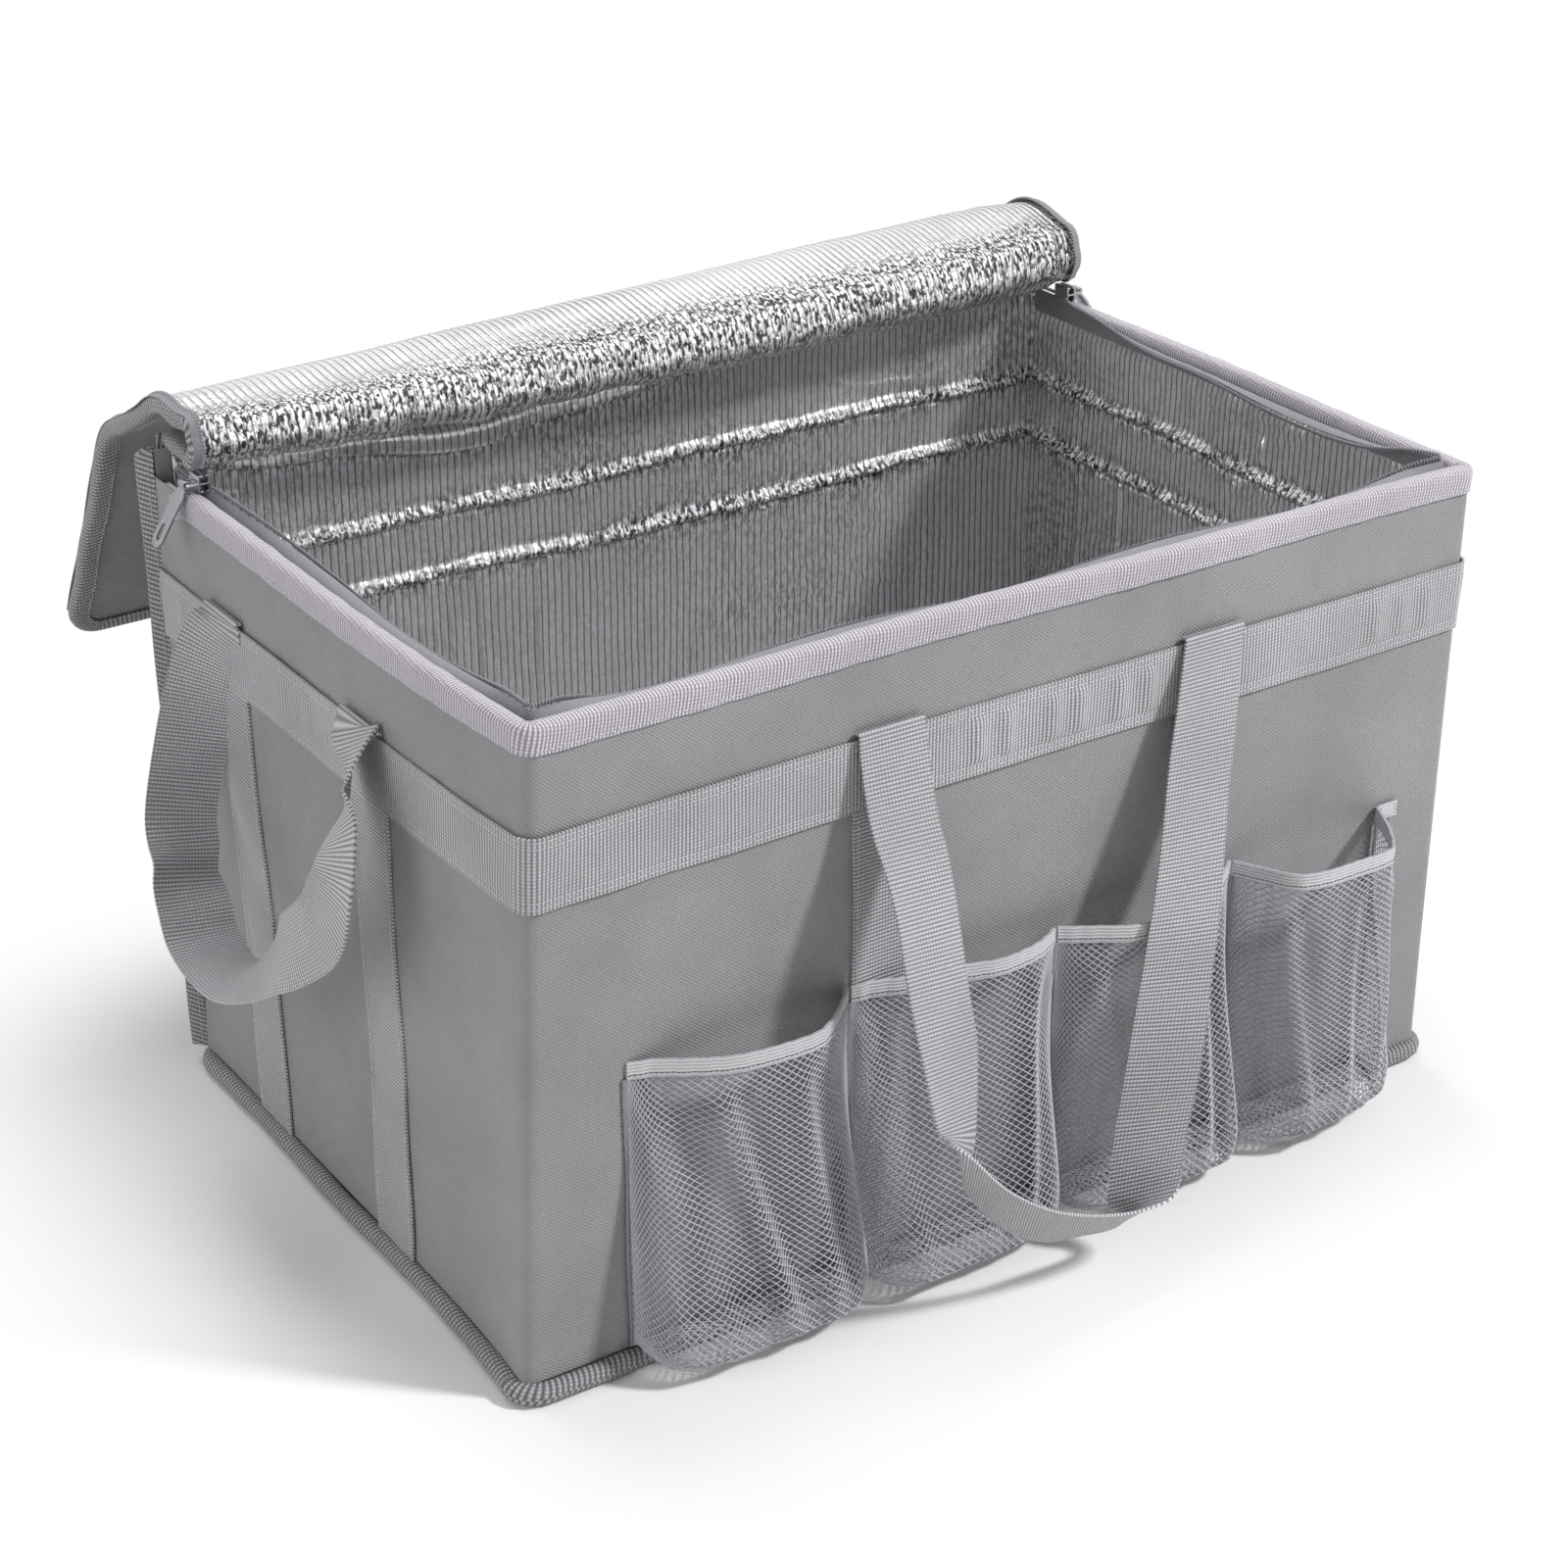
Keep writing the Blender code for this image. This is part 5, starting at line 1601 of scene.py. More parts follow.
class Handles:
    """The four carrying loops."""

    OUT = 0.0025
    HEIGHT = 0.310
    FRONT = ((-88, 0, 0, 0, 0), (-88, 3, 16, 2, 0), (-89, 13, 44, 3, -1), (-90, 30, 74, -2, -4),
             (-91, 46, 121, -5, -7), (-89, 55, 155, -10, -8), (-90, 62, 188, -23, -17),
             (-91, 66, 195, -28, -34), (-93, 70, 203, -42, -52), (-90, 73, 211, -60, -58),
             (-70, 75, 236, -66, -58), (-43, 76, 257, -66, -58), (-15, 75, 268, -58, -50),
             (10, 73, 275, -62, -45), (22, 70, 276, -86, -40), (27, 67, 275, -116, -31),
             (30, 64, 269, -142, -18), (39, 57, 243, -146, -10), (49, 52, 210, -144, -5),
             (59, 45, 177, -154, 0), (70, 38, 136, -162, 0), (83, 26, 101, -169, 0), (99, 11, 47, -174, 0),
             (109, 2, 14, -178, 0), (112, 0, 0, -180, 0))
    BACK = ((-88, 0, 0, 0, 0), (-88, 2, 58, 4, 0), (-87, 4, 120, 9, 0), (-81, 6, 190, 22, 0),
            (-62, 9, 230, 58, 0), (-28, 10, 249, 82, 0), (12, 10, 255, 90, 0), (52, 10, 249, 98, 0),
            (86, 9, 230, 122, 0), (105, 6, 190, 158, 0), (111, 4, 120, 171, 0), (112, 2, 58, 176, 0),
            (112, 0, 0, 180, 0))
    LEFT = ((-107, 0, 0, 0, 0), (-108, 3, 10, -20, 0), (-119, 10, 49, -52, 0), (-123, 19, 88, -68, 0),
            (-117, 27, 113, -80, 0), (-104, 31, 127, -104, 0), (-97, 34, 138, -110, 0),
            (-84, 37, 148, -94, 0), (-70, 40, 159, -104, 0), (-47, 42, 165, -108, 0),
            (-22, 43, 160, -128, 0), (2, 42, 144, -152, 0), (25, 41, 126, -165, 0), (50, 41, 108, -176, 0),
            (72, 40, 88, -184, 0), (80, 36, 66, -188, 0), (76, 28, 49, -180, 0), (66, 19, 36, -160, 0),
            (60, 14, 27, -150, 0), (54, 8, 12, -160, 0), (47, 0, 0, -180, 0))
    RIGHT = ((-47, 0, 0, 0, 0), (-49, 3, 28, 8, 0), (-55, 8, 52, 16, 0), (-66, 18, 82, 45, 0),
             (-74, 28, 120, 75, 0), (-58, 36, 158, 88, 0), (-10, 40, 176, 95, 0), (44, 38, 172, 92, 0),
             (92, 32, 146, 98, 0), (115, 21, 104, 118, 0), (113, 8, 52, 163, 0), (109, 3, 28, 172, 0),
             (107, 0, 0, 180, 0))

    def build(self) -> None:
        """Make the loops."""
        x, y = HALF_LENGTH + self.OUT, HALF_DEPTH + self.OUT
        front = Matrix(((1, 0, 0, 0), (0, -1, 0, -y), (0, 0, 1, self.HEIGHT), (0, 0, 0, 1)))
        back = Matrix(((1, 0, 0, 0), (0, 1, 0, y), (0, 0, 1, self.HEIGHT), (0, 0, 0, 1)))
        left = Matrix(((0, -1, 0, -x), (-1, 0, 0, 0), (0, 0, 1, self.HEIGHT), (0, 0, 0, 1)))
        right = Matrix(((0, 1, 0, x), (1, 0, 0, 0), (0, 0, 1, self.HEIGHT), (0, 0, 0, 1)))
        Handle("front_loop", "handle_front", self.FRONT, front, 5, square=False).build()
        Handle("rear_loop", "handle_back", self.BACK, back, 6).build()
        Handle("left_loop", "handle_left", self.LEFT, left, 7, ripple=0.0027).build()
        Handle("right_loop", "handle_right", self.RIGHT, right, 8).build()


# ---------------------------------------------------------------- zip


@dataclass
class Zip:
    """The body's half of the zip, the sliders and their pulls."""

    tape_foot: float = 0.349
    tape: float = 0.0140
    coil: float = 0.0160
    curl: float = math.radians(150)
    root: float = 0.012

    def build(self) -> None:
        """Make the tape, its teeth, the sliders and the pulls."""
        start, stop = self.root, TURNS[-1] - self.root
        sheet("body_tape", Wall.columns(0.004, 8, start, stop), runs(0, self.tape, 0.0014), self.place,
              TAPE_THICK, ZIP_TAPE, Body.BAG, "body_zip_tape")
        q = Wall.columns(0.002, 8, start, stop)
        line = self.place(q, np.full_like(q, self.coil))
        normal = np.column_stack([Wall.plan(q, 0.0)[1], 0 * q])
        dress(teeth("body_teeth", line, normal), COIL, Body.BAG, "body_zip_coil")
        for side in Side:
            bevelled(f"slider_body_{side.label}", f"slider_{side.label}", 0.00035)
            bevelled(f"pull_tab_{side.label}", f"pull_{side.label}", 0.00025)

    def place(self, q: Array, up: Array) -> Array:
        """Return points of the tape, which curls into the bag away from the sliders.

        Args:
            q: runs along the wall.
            up: lengths of tape above its seam.

        Returns:
            The points.
        """
        far = TURNS[-1] - q
        share = 0.32 * smoothstep((q - 0.03) / 0.03) * smoothstep((far - 0.03) / 0.03)
        share = share + 0.68 * smoothstep((q - 0.07) / 0.10) * smoothstep((far - 0.06) / 0.10)
        share = share * (1 - 0.75 * Wall.corners(q)) * (0.86 + 0.14 * np.sin(q * 31))
        bend = self.curl / self.coil * np.maximum(share, 0.01)
        inward, rise = (1 - np.cos(bend * up)) / bend, np.sin(bend * up) / bend
        plan, normal = Wall.plan(q, -ZIP_IN, 0.017)
        return Wall.settle(np.column_stack([plan - normal * inward[:, None], self.tape_foot + rise]))


def teeth(name: str, line: Array, normals: Array) -> Optional[bpy.types.Object]:
    """Make the row of coil turns along a zip's edge, without its dress.

    Args:
        name: the piece's name.
        line: the zip's edge, close together.
        normals: the way up from the tape at each point.

    Returns:
        The row, or None where the edge is too short for one.
    """
    length = arc(line)
    at = np.arange(COIL_PITCH / 2, length[-1], COIL_PITCH)
    if len(at) < 2:
        return None
    points = pick(at, length, line)
    run = unit(np.gradient(points, axis=0))
    up = upright(pick(at, length, normals), run)
    turns = placed(np.cross(up, run), -run, up, points)
    row = object_of(repeated(name, bead(0.0030, 0.00075, 8), turns))
    row.data.shade_smooth()
    return row


def bevelled(name: str, node: str, width: float) -> bpy.types.Object:
    """Make a rounded casting from a CAD node's own faces.

    Args:
        name: the piece's name.
        node: the CAD node, which has the name of its body too.
        width: the width of its rounded edges.

    Returns:
        The piece.
    """
    bm = bmesh.new()
    bm.from_mesh(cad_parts[node].data)
    bmesh.ops.remove_doubles(bm, verts=bm.verts, dist=0.00001)
    bmesh.ops.dissolve_limit(bm, angle_limit=math.radians(3), verts=bm.verts, edges=bm.edges)
    made = object_of(mesh_of(name, bm))
    edge = made.modifiers.new("edge", "BEVEL")
    edge.width = width
    edge.segments = 2
    edge.limit_method = "ANGLE"
    edge.angle_limit = math.radians(40)
    settled(made)
    made.data.shade_smooth()
    made.data.set_sharp_from_angle(angle=math.radians(45))
    return dress(made, ZINC, node, node)


# ---------------------------------------------------------------- lid


@dataclass
class Lid:
    """The padded lid, sewn to the back and rolled back over itself.

    A place on it is x, the run d from the hinge and the height h over the lid's outer face as if it
    were closed, so that the cloth is near h 0 and the foil is below it.
    """

    creases: tuple = (0.044, 0.053, 0.062, 0.109, 0.194)
    folds: tuple = (50, 60, 66, 32, 32)
    reach: tuple = (0.0045, 0.0045, 0.0045, 0.026, 0.030)
    top: float = 0.3810
    half_width: float = 0.288
    length: float = 0.372
    corner: float = 0.020
    under: float = -0.0073
    step: float = 0.00080
    crest_x: tuple = (-0.288, -0.1, 0.0, 0.1, 0.17, 0.25, 0.288)
    crest_rise: tuple = (-0.0065, -0.0017, 0.0012, 0.0045, 0.0075, 0.0085, 0.0065)
    nose_sag: float = 0.0065
    tape_root: float = 0.2875
    tape_width: float = 0.0050
    zip_start: float = 0.046
    zip_short: float = 0.017
    hem_zip_in: float = 0.0050
    hem_coil: float = -0.0117
    end_draw: float = 0.009
    edge_tape: float = 0.0205
    edge_thick: float = 0.0007
    stitch_share: float = 0.06
    crinkles: Crumple = field(default_factory=lambda: Crumple(77, 0.018, 4))
    dents: Crumple = field(default_factory=lambda: Crumple(78, 0.09, 2))
    spans: list = field(default_factory=list)

    def __post_init__(self) -> None:
        """Work out the stretches and what each rides on."""
        bodies = (Body.BAG, Body.ROLL_1, Body.ROLL_2, Body.ROLL_3, Body.ROLL_4, Body.LID)
        marks = [0.0]
        for crease, reach in zip(self.creases, self.reach):
            marks += [crease - reach, crease + reach]
        marks.append(self.length)
        for k in range(len(bodies)):
            if marks[2 * k + 1] - marks[2 * k] > 1e-6:
                self.spans.append((marks[2 * k], marks[2 * k + 1], bodies[k], None))
            if k < len(self.creases):
                self.spans.append((marks[2 * k + 1], marks[2 * k + 2], bodies[k], bodies[k + 1]))

    def rest(self, x: Array, d: Array, h: Array) -> Array:
        """Return points of the lid at rest, rolled back.

        Args:
            x: places across the lid.
            d: runs from the hinge.
            h: heights over the lid's outer face.

        Returns:
            The points.
        """
        y, z = HALF_DEPTH - d, self.top + h
        whole = np.eye(3)
        out_y, out_z = y.copy(), z.copy()
        for crease, fold, reach in zip(self.creases, self.folds, self.reach):
            share = smoothstep((d - crease + reach) / (2 * reach))
            angle = -math.radians(fold) * share
            py, pz = HALF_DEPTH - crease, self.top
            c, s = np.cos(angle), np.sin(angle)
            ty, tz = py + (y - py) * c - (z - pz) * s, pz + (y - py) * s + (z - pz) * c
            inside = d > crease - reach
            out_y = np.where(inside, whole[0, 0] * ty + whole[0, 1] * tz + whole[0, 2], out_y)
            out_z = np.where(inside, whole[1, 0] * ty + whole[1, 1] * tz + whole[1, 2], out_z)
            full = -math.radians(fold)
            c, s = math.cos(full), math.sin(full)
            turn = np.array([[c, -s, py - c * py + s * pz], [s, c, pz - s * py - c * pz], [0, 0, 1]])
            whole = whole @ turn
        middle = 1 - (x / self.half_width) ** 2
        crest = smoothstep((d - 0.035) / 0.06) * (1 - 0.75 * smoothstep((d - 0.16) / 0.15))
        nose = hump(d, 0.056, 0.014)
        out_z = out_z + crest * np.interp(x, self.crest_x, self.crest_rise)
        out_z = out_z - self.nose_sag * nose * middle
        ends = smoothstep((np.abs(x) - 0.215) / 0.073)
        out_y = out_y - 0.003 * nose * np.sin(x * 9 + 1) + self.end_draw * ends * hump(d, 0.056, 0.026)
        return np.column_stack([x, out_y, out_z])

    def width_at(self, d: Array) -> Array:
        """Return the lid's half width at a run, narrower in its two rounded corners.

        Args:
            d: the run over the lid from its root.

        Returns:
            The half width there.
        """
        past = np.clip(d - (self.length - self.corner), 0, self.corner)
        rounded = np.sqrt(np.maximum(self.corner ** 2 - past ** 2, 0))
        return self.half_width - self.corner + rounded - self.tuck(d)

    def tuck(self, d: Array) -> Array:
        """Return how far the lid's edge is drawn in near its hinge."""
        return 0.003 * (1 - smoothstep((d - 0.026) / 0.018))

    def finish_span(self, made: bpy.types.Object, finish: Finish, k: int, *nodes: str) -> bpy.types.Object:
        """Dress one stretch of a layer, riding on a body, or on none where it lies between two.

        Args:
            made: the stretch.
            finish: what it is made of.
            k: which stretch it is, from 0.
            nodes: the CAD nodes that it stands for.

        Returns:
            The stretch.
        """
        start, stop, first, second = self.spans[k]
        if second is None:
            return dress(made, finish, first, *nodes)
        dress(made, finish, "", *nodes)
        ends = self.rest(np.zeros(2), np.array([start, stop]), np.full(2, self.under / 2))
        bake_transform(made)
        return made

    def build(self) -> None:
        """Make every layer of the lid, one stretch at a time."""
        nodes = {0: ("lid_root",), 1: ("lid_roll_1",), 2: ("lid_roll_2",), 4: ("lid_roll_3",),
                 6: ("lid_roll_4",)}
        last = len(self.spans) - 1
        for k, (start, stop, _, _) in enumerate(self.spans):
            fine = 0.0016 if stop - start < 0.05 else 0.0042
            rows, few = runs(start, stop, fine), runs(start, stop, max(fine, 0.003))
            self.foil(k, rows, ("lid_foil",) if k == last else nodes.get(k, ()))
            self.cloth(k, few, last)
            self.filling(k, few, last)
            self.edges(k, rows, last)
            self.zip_side(k, rows, last)
        self.hem()

    def fitted(self, x: Array, d: Array, inset: float) -> Array:
        """Return places across the lid brought to its width at a run, less an inset."""
        return x / self.half_width * (self.width_at(d) - inset)

    def foil(self, k: int, rows: Array, nodes: tuple) -> None:
        """The ribbed foil face.

        Args:
            k: which stretch, from 0.
            rows: the runs of its rows.
            nodes: the CAD nodes that it stands for.
        """
        def place(x: Array, d: Array) -> Array:
            """Place the foil, crinkled round the nose.

            Args:
                x: the place along the bag's length.
                d: the run over the lid from its root.

            Returns:
                The points in metres.
            """
            x = self.fitted(x, d, 0.004)
            nose = hump(d, 0.052, 0.020)
            rough = (0.0002 + 0.0016 * nose) * (self.crinkles(x, d * 0.8) + 0.5)
            dent = 0.0007 * (self.dents(x, d) + 0.4) * smoothstep(d / 0.02)
            edge = smoothstep((self.half_width - 0.010 - np.abs(x)) / 0.014)
            away = ribbed(x, 0.00042) + np.maximum((rough + dent) * edge, -0.0006)
            return self.rest(x, d, self.under + 0.0006 - away)

        # This crumple share also sets where the lid foil is darkened by painted dark reflections
        def worn(x: Array, d: Array) -> Array:
            """Return how crumpled the foil is: most round the nose and at its ends."""
            ends = smoothstep((np.abs(x) - 0.24) / 0.03) * hump(d, 0.07, 0.04)
            return 0.05 + 0.9 * hump(d, 0.064, 0.014) + 0.3 * hump(d, 0.050, 0.02) + 0.3 * ends

        columns = runs(-self.half_width, self.half_width, self.step if rows[-1] < 0.2 else self.step * 1.9)
        mesh = grid_mesh(f"lid_foil_face_{k + 1}", columns, rows, place, crumple=worn)
        self.smooth_over(mesh, place)
        self.finish_span(object_of(mesh), FOIL, k, *nodes)

    def smooth_over(self, mesh: bpy.types.Mesh, place: Place) -> None:
        """Shade a stretch with the whole sheet's normals, so that its ends don't show.

        Args:
            mesh: the stretch, whose UV map has its coordinates.
            place: gives the sheet's points.
        """
        layer = mesh.uv_layers[0]
        uv = np.zeros(len(layer.data) * 2)
        layer.data.foreach_get("uv", uv)
        corner = np.zeros(len(mesh.loops), int)
        mesh.loops.foreach_get("vertex_index", corner)
        ab = np.zeros((len(mesh.vertices), 2))
        ab[corner] = uv.reshape(-1, 2)
        step = 0.0003
        du = place(ab[:, 0] + step, ab[:, 1]) - place(ab[:, 0] - step, ab[:, 1])
        dv = place(ab[:, 0], ab[:, 1] + step) - place(ab[:, 0], ab[:, 1] - step)
        normal = np.cross(du, dv)
        normal /= np.maximum(np.linalg.norm(normal, axis=1), 1e-12)[:, None]
        mesh.shade_smooth()
        mesh.normals_split_custom_set_from_vertices([tuple(n) for n in normal])

    def cloth(self, k: int, rows: Array, last: int) -> None:
        """The cloth face.

        Args:
            k: which stretch, from 0.
            rows: the runs of its rows.
            last: the number of the last stretch.
        """
        def place(x: Array, d: Array) -> Array:
            """Place the cloth, dented a little.

            Args:
                x: the place along the bag's length.
                d: the run over the lid from its root.

            Returns:
                The points in metres.
            """
            x = self.fitted(x, d, 0.004)
            dent = 0.0008 * self.dents(x + 2, d)
            return self.rest(x, d, -0.0009 + np.minimum(dent, 0.0006))

        mesh = grid_mesh(f"lid_cloth_{k + 1}", runs(-self.half_width, self.half_width, 0.008), rows, place)
        self.smooth_over(mesh, place)
        self.finish_span(object_of(mesh), OXFORD, k, *(("lid_cover",) if k == last else ()))

    def filling(self, k: int, rows: Array, last: int) -> None:
        """The foam between the lid's two faces.

        Args:
            k: which stretch, from 0.
            rows: the runs of its rows.
            last: the number of the last stretch.
        """
        def place(x: Array, d: Array) -> Array:
            """Place the foam's middle."""
            return self.rest(self.fitted(x, d, 0.006), d, np.full_like(x, self.under / 2))

        mesh = grid_mesh(f"lid_filling_{k + 1}", runs(-self.half_width, self.half_width, 0.03), rows, place)
        nodes = ("lid_foam",) if k == last else ()
        self.finish_span(thickened(object_of(mesh), 0.0030), FOAM, k, *nodes)

    def edge_profile(self, s: Array) -> tuple[Array, Array]:
        """Return how far inside the lid's edge the binding is, and its height.

        Args:
            s: shares of the binding's width, from its edge on the cloth.

        Returns:
            The insets and the heights over the lid's outer face.
        """
        inset = np.array([0.0105, 0.0070, 0.0035, 0.0012, 0.0, -0.0004, 0.0, 0.0006, 0.0012, 0.0018, 0.0026])
        height = np.array([0.0002, 0.0004, 0.0004, 0.0, -0.0014, -0.0037, -0.0060, -0.0072, -0.0078, -0.0082,
                           -0.0084])
        steps = np.hypot(np.diff(inset), np.diff(height))
        share = np.concatenate([[0], np.cumsum(steps)]) / steps.sum()
        return np.interp(s, share, inset), np.interp(s, share, height)

    def edges(self, k: int, rows: Array, last: int) -> None:
        """The tape bound over the lid's left and right edges.

        Args:
            k: which stretch, from 0.
            rows: the runs of its rows.
            last: the number of the last stretch.
        """
        if k == last:
            stop = self.length - self.corner
            rows = np.append(rows[rows < stop], stop)
        for side in Side:
            def place(d: Array, s: Array, side: Side = side) -> Array:
                """Place the tape round one edge, swelling a little.

                Args:
                    d: the run over the lid from its root.
                    s: the step round the tape.
                    side: the side of the bag.

                Returns:
                    The points in metres.
                """
                inset, height = self.edge_profile(s)
                swell = 0.0005 * np.sin(d * 95 + side.value)
                return self.rest(side.value * (self.half_width - self.tuck(d) - inset + swell), d, height)

            mesh = grid_mesh(f"lid_edge_{side.label}_{k + 1}", rows, np.linspace(0, 1, 21), place)
            scale_uv(mesh, (1.0, self.edge_tape))
            nodes = ("lid_binding",) if k == last and side is Side.LEFT else ()
            self.finish_span(thickened(object_of(mesh), self.edge_thick), EDGE_TAPE, k, *nodes)
            if self.spans[k][3] is None:
                line = place(rows, np.full_like(rows, self.stitch_share))
                inner = side.value * (self.half_width - 0.008) + 0 * rows
                up = unit(line - self.rest(inner, rows, np.full_like(rows, -0.004)))
                stitches(f"lid_edge_stitches_{side.label}_{k + 1}", line + up * 0.0005, up, self.spans[k][2])

    def zip_side(self, k: int, rows: Array, last: int) -> None:
        """The lid's half of the zip along the left and right edges.

        Args:
            k: which stretch, from 0.
            rows: the runs of its rows.
            last: the number of the last stretch.
        """
        if rows[-1] <= self.zip_start:
            return
        rows = np.unique(np.concatenate([[max(rows[0], self.zip_start)], rows[rows > self.zip_start]]))
        if k == last:
            stop = self.length - self.zip_short
            rows = np.append(rows[rows < stop], stop)
        for side in Side:
            def place(d: Array, inward: Array, side: Side = side) -> Array:
                """Place the tape along one edge, leaning to and fro a little.

                Args:
                    d: the run over the lid from its root.
                    inward: how far in from the tape's root.
                    side: the side of the bag.

                Returns:
                    The points in metres.
                """
                lean = 0.0006 * np.sin(d * 60)
                x = side.value * (self.tape_root - self.tuck(d) - inward + lean)
                return self.rest(x, d, -0.0084 - 0.0011 * inward / self.tape_width)

            main = k == last and side is Side.LEFT
            mesh = grid_mesh(f"lid_tape_{side.label}_{k + 1}", rows, runs(0, self.tape_width, 0.0020), place)
            nodes = ("lid_zip_tape",) if main else ()
            self.finish_span(thickened(object_of(mesh), TAPE_THICK), ZIP_TAPE, k, *nodes)
            if len(rows) < 2:
                continue
            fine = np.linspace(rows[0], rows[-1], max(2, int((rows[-1] - rows[0]) / 0.001)))
            line = place(fine, np.full_like(fine, self.tape_width))
            x = line[:, 0]
            up = self.rest(x, fine, np.full_like(fine, -0.010)) - self.rest(x, fine, 0 * fine)
            made = teeth(f"lid_teeth_{side.label}_{k + 1}", line, up)
            if made is not None:
                self.finish_span(made, COIL, k, *(("lid_zip_coil",) if main else ()))

    def hem(self) -> None:
        """The front edge: its binding round the two corners, its zip tape and teeth."""
        quarter, flat = self.corner * math.pi / 2, 2 * (self.half_width - self.corner)
        total = self.corner * math.pi + flat

        def rim(a: Array) -> tuple[Array, Array, Array, Array]:
            """Return x, d and the outward direction at runs along the lid's front edge.

            Args:
                a: the run along the front edge.

            Returns:
                x, d and the two parts of the direction.
            """
            t0, t2 = np.clip(a / quarter, 0, 1), np.clip((a - quarter - flat) / quarter, 0, 1)
            t1 = np.clip((a - quarter) / flat, 0, 1)
            turn = math.pi / 2 * (t0 + t2)
            centre = np.where(a < quarter + flat / 2, -1, 1) * (self.half_width - self.corner)
            nx, nd = -np.cos(turn), np.sin(turn)
            x = np.where((a >= quarter) & (a <= quarter + flat), -self.half_width + self.corner + flat * t1,
                         centre + self.corner * nx)
            d = self.length - self.corner + self.corner * nd
            return x, d, nx, nd

        turn, turn_back = np.linspace(0, quarter, 9), np.linspace(total - quarter, total, 9)
        along = np.concatenate([turn[:-1], runs(quarter, total - quarter, 0.008)[:-1], turn_back])

        def place(a: Array, s: Array) -> Array:
            """Place the binding round the front edge.

            Args:
                a: the run along the front edge.
                s: the step round the binding.

            Returns:
                The points in metres.
            """
            x, d, nx, nd = rim(a)
            inset, height = self.edge_profile(s)
            return self.rest(x - nx * inset, d - nd * inset, height)

        sheet("lid_hem", along, np.linspace(0, 1, 21), place, self.edge_thick, EDGE_TAPE, Body.LID,
              tape=self.edge_tape)
        fine = runs(0, total, 0.003)
        line = place(fine, np.full_like(fine, self.stitch_share))
        x, d, nx, nd = rim(fine)
        up = unit(self.rest(x, d, np.full_like(x, 0.001)) - self.rest(x, d, np.full_like(x, -0.001)))
        stitches("lid_hem_stitches", line + up * 0.0005, up, Body.LID)

        def tape(a: Array, h: Array) -> Array:
            """Place the zip tape that stands down from the hem."""
            x, d, nx, nd = rim(a)
            return self.rest(x - nx * self.hem_zip_in, d - nd * self.hem_zip_in, h)

        sheet("lid_hem_tape", along, runs(-0.0114, -0.0079, 0.0009), tape, TAPE_THICK, ZIP_TAPE, Body.LID)
        low = np.full_like(fine, self.hem_coil)
        out = unit(self.rest(x + nx * MM, d + nd * MM, low) - self.rest(x, d, low))
        dress(teeth("lid_hem_teeth", tape(fine, low), out), COIL, Body.LID)


# ---------------------------------------------------------------- studio


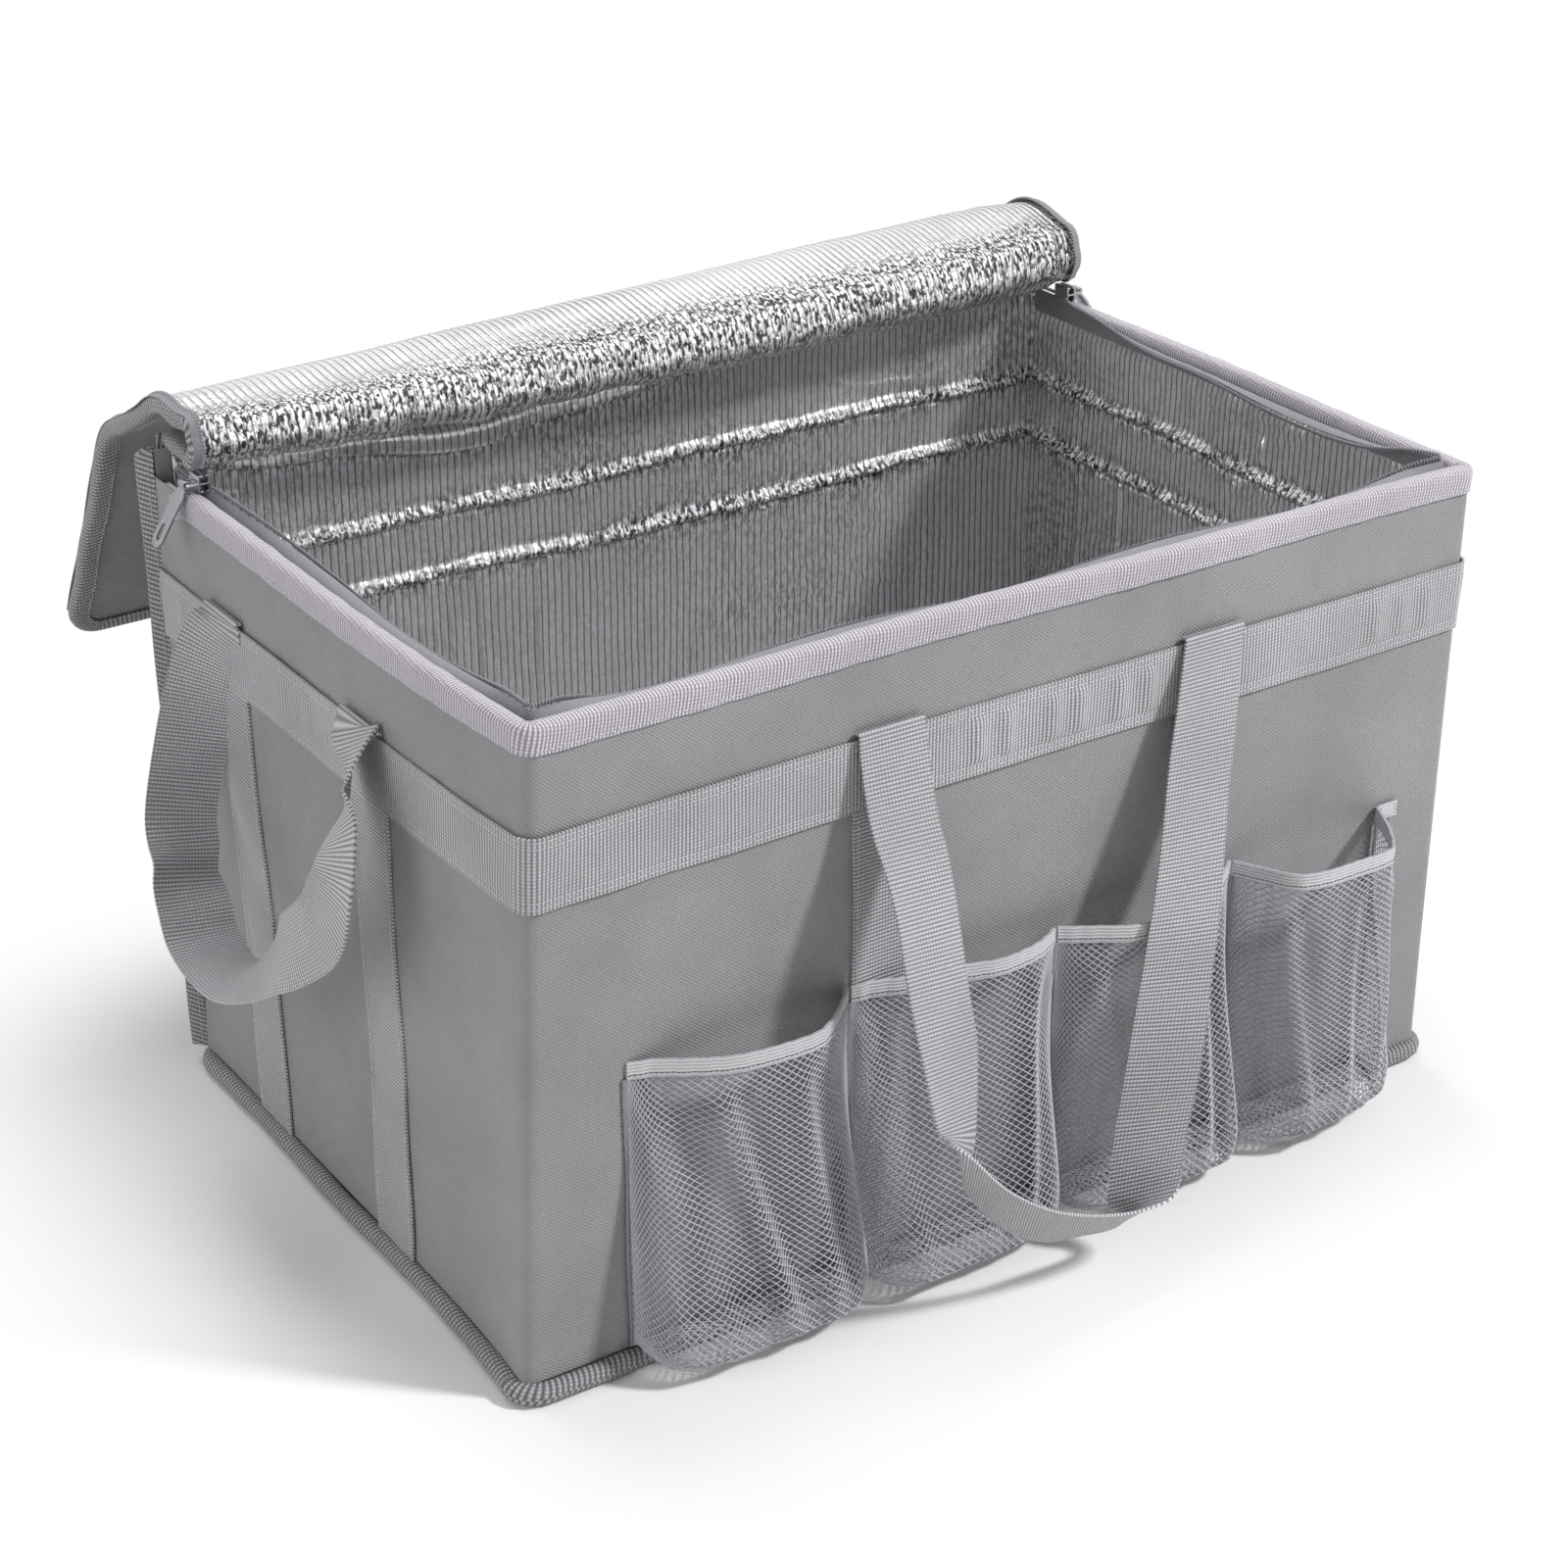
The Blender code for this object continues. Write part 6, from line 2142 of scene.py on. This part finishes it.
@dataclass
class Studio:
    """The floor, the lamps and the camera."""

    AIM = Vector((0, 0, 0.18))

    spot: tuple = (-0.87861, -1.28406, 0.95418)
    yaw: float = math.radians(33.745)
    pitch: float = math.radians(-26.579)
    lens: float = 72.43

    def build(self) -> None:
        """Make the studio."""
        self.camera()
        self.floor()
        self.world()
        self.lamp("key_lamp", (1.7, -2.0, 2.5), 0.38, 101.0)
        self.lamp("fill_lamp", (-2.4, -0.2, 1.2), 1.6, 17.0)
        self.lamp("top_lamp", (0.0, 0.9, 2.4), 1.4, 34.0)

    def camera(self) -> None:
        """The camera, at the photograph's angle."""
        data = bpy.data.cameras.new("camera")
        data.sensor_width = 36.0
        data.lens = self.lens
        data.clip_start, data.clip_end = 0.01, 50.0
        level = math.cos(self.pitch)
        ahead = Vector((math.sin(self.yaw) * level, math.cos(self.yaw) * level, math.sin(self.pitch)))
        bpy.context.scene.camera = self.aimed("camera", data, self.spot, ahead)

    @staticmethod
    def aimed(name: str, data: bpy.types.ID, spot: Sequence[float], ahead: Vector) -> bpy.types.Object:
        """Return a lamp or camera at a spot, facing a way.

        Args:
            name: the object's name.
            data: its lamp or camera.
            spot: where it stands.
            ahead: the way that it faces.

        Returns:
            The object.
        """
        made = linked(name, data)
        made.location = spot
        made.rotation_mode = "QUATERNION"
        made.rotation_quaternion = ahead.to_track_quat("-Z", "Y")
        return made

    def floor(self) -> None:
        """A plain pale floor."""
        bm = bmesh.new()
        bmesh.ops.create_grid(bm, x_segments=2, y_segments=2, size=6.0)
        bmesh.ops.translate(bm, vec=(0, 0, -0.0005), verts=bm.verts)
        made = object_of(mesh_of("floor", bm))
        material = bpy.data.materials.new("studio_floor")
        material.use_nodes = True
        tree = material.node_tree
        shader = tree.nodes["Principled BSDF"]
        shader.inputs["Base Color"].default_value = linear("f4f4f4")
        shader.inputs["Roughness"].default_value = 0.9
        shader.inputs["Specular IOR Level"].default_value = 0.1
        where = add(tree, "TexCoord").outputs["Object"]
        where = add(tree, "VectorMath", {"operation": "ABSOLUTE"}, i0=where).outputs[0]
        half = (HALF_LENGTH, HALF_DEPTH, 0)
        where = add(tree, "VectorMath", {"operation": "SUBTRACT", 1: half}, i0=where).outputs[0]
        where = add(tree, "VectorMath", {"operation": "MAXIMUM", 1: (0, 0, 0)}, i0=where).outputs[0]
        far = add(tree, "VectorMath", {"operation": "LENGTH"}, i0=where).outputs["Value"]
        away = {"From Min": 0.02, "From Max": 0.22, "interpolation_type": "SMOOTHSTEP"}
        far = add(tree, "MapRange", away, Value=far).outputs[0]
        share = reckon(tree, far, add(tree, "LightPath").outputs["Is Camera Ray"])
        white = add(tree, "Emission", {"Strength": 1.0}).outputs[0]
        both = add(tree, "MixShader", i0=share, i1=shader.outputs[0], i2=white)
        tree.links.new(both.outputs[0], tree.nodes["Material Output"].inputs["Surface"])
        made.data.materials.append(material)

    def world(self) -> None:
        """White where the camera or a reflection looks, and a soft even light elsewhere."""
        world = bpy.data.worlds.new("studio")
        bpy.context.scene.world = world
        world.use_nodes = True
        tree = world.node_tree
        shade = tree.nodes["Background"]
        path = add(tree, "LightPath").outputs
        seen = reckon(tree, path["Is Camera Ray"], path["Is Glossy Ray"], "MAXIMUM")
        seen = reckon(tree, seen, path["Is Transmission Ray"], "MAXIMUM")
        shade.inputs["Color"].default_value = (1, 1, 1, 1)
        tree.links.new(ranged(tree, seen, (0.0, 1.0), (0.30, 1.0)), shade.inputs["Strength"])

    def lamp(self, name: str, spot: tuple, size: float, watts: float) -> None:
        """Add a soft area lamp that faces the bag.

        Args:
            name: the lamp's name.
            spot: where it stands.
            size: the length of its sides.
            watts: its power.
        """
        data = bpy.data.lights.new(name, "AREA")
        data.shape = "SQUARE"
        data.size = size
        data.energy = watts
        self.aimed(name, data, spot, self.AIM - Vector(spot))


def main() -> None:
    """Build the whole bag and its studio."""
    logging.basicConfig(level=logging.INFO, format="%(name)s %(message)s")
    bpy.context.scene.view_settings.view_transform = "Standard"
    for part in (Shell(), Webbing(), Bindings(), Pockets(), Handles(), Zip(), Lid(), Studio()):
        part.build()
        log.info("%s made", type(part).__name__)
    for node, finish in CAD_FINISHES.items():
        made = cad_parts[node]
        made.data.materials.clear()
        made.data.materials.append(finish.material())
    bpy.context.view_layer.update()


if __name__ == "__main__":
    main()
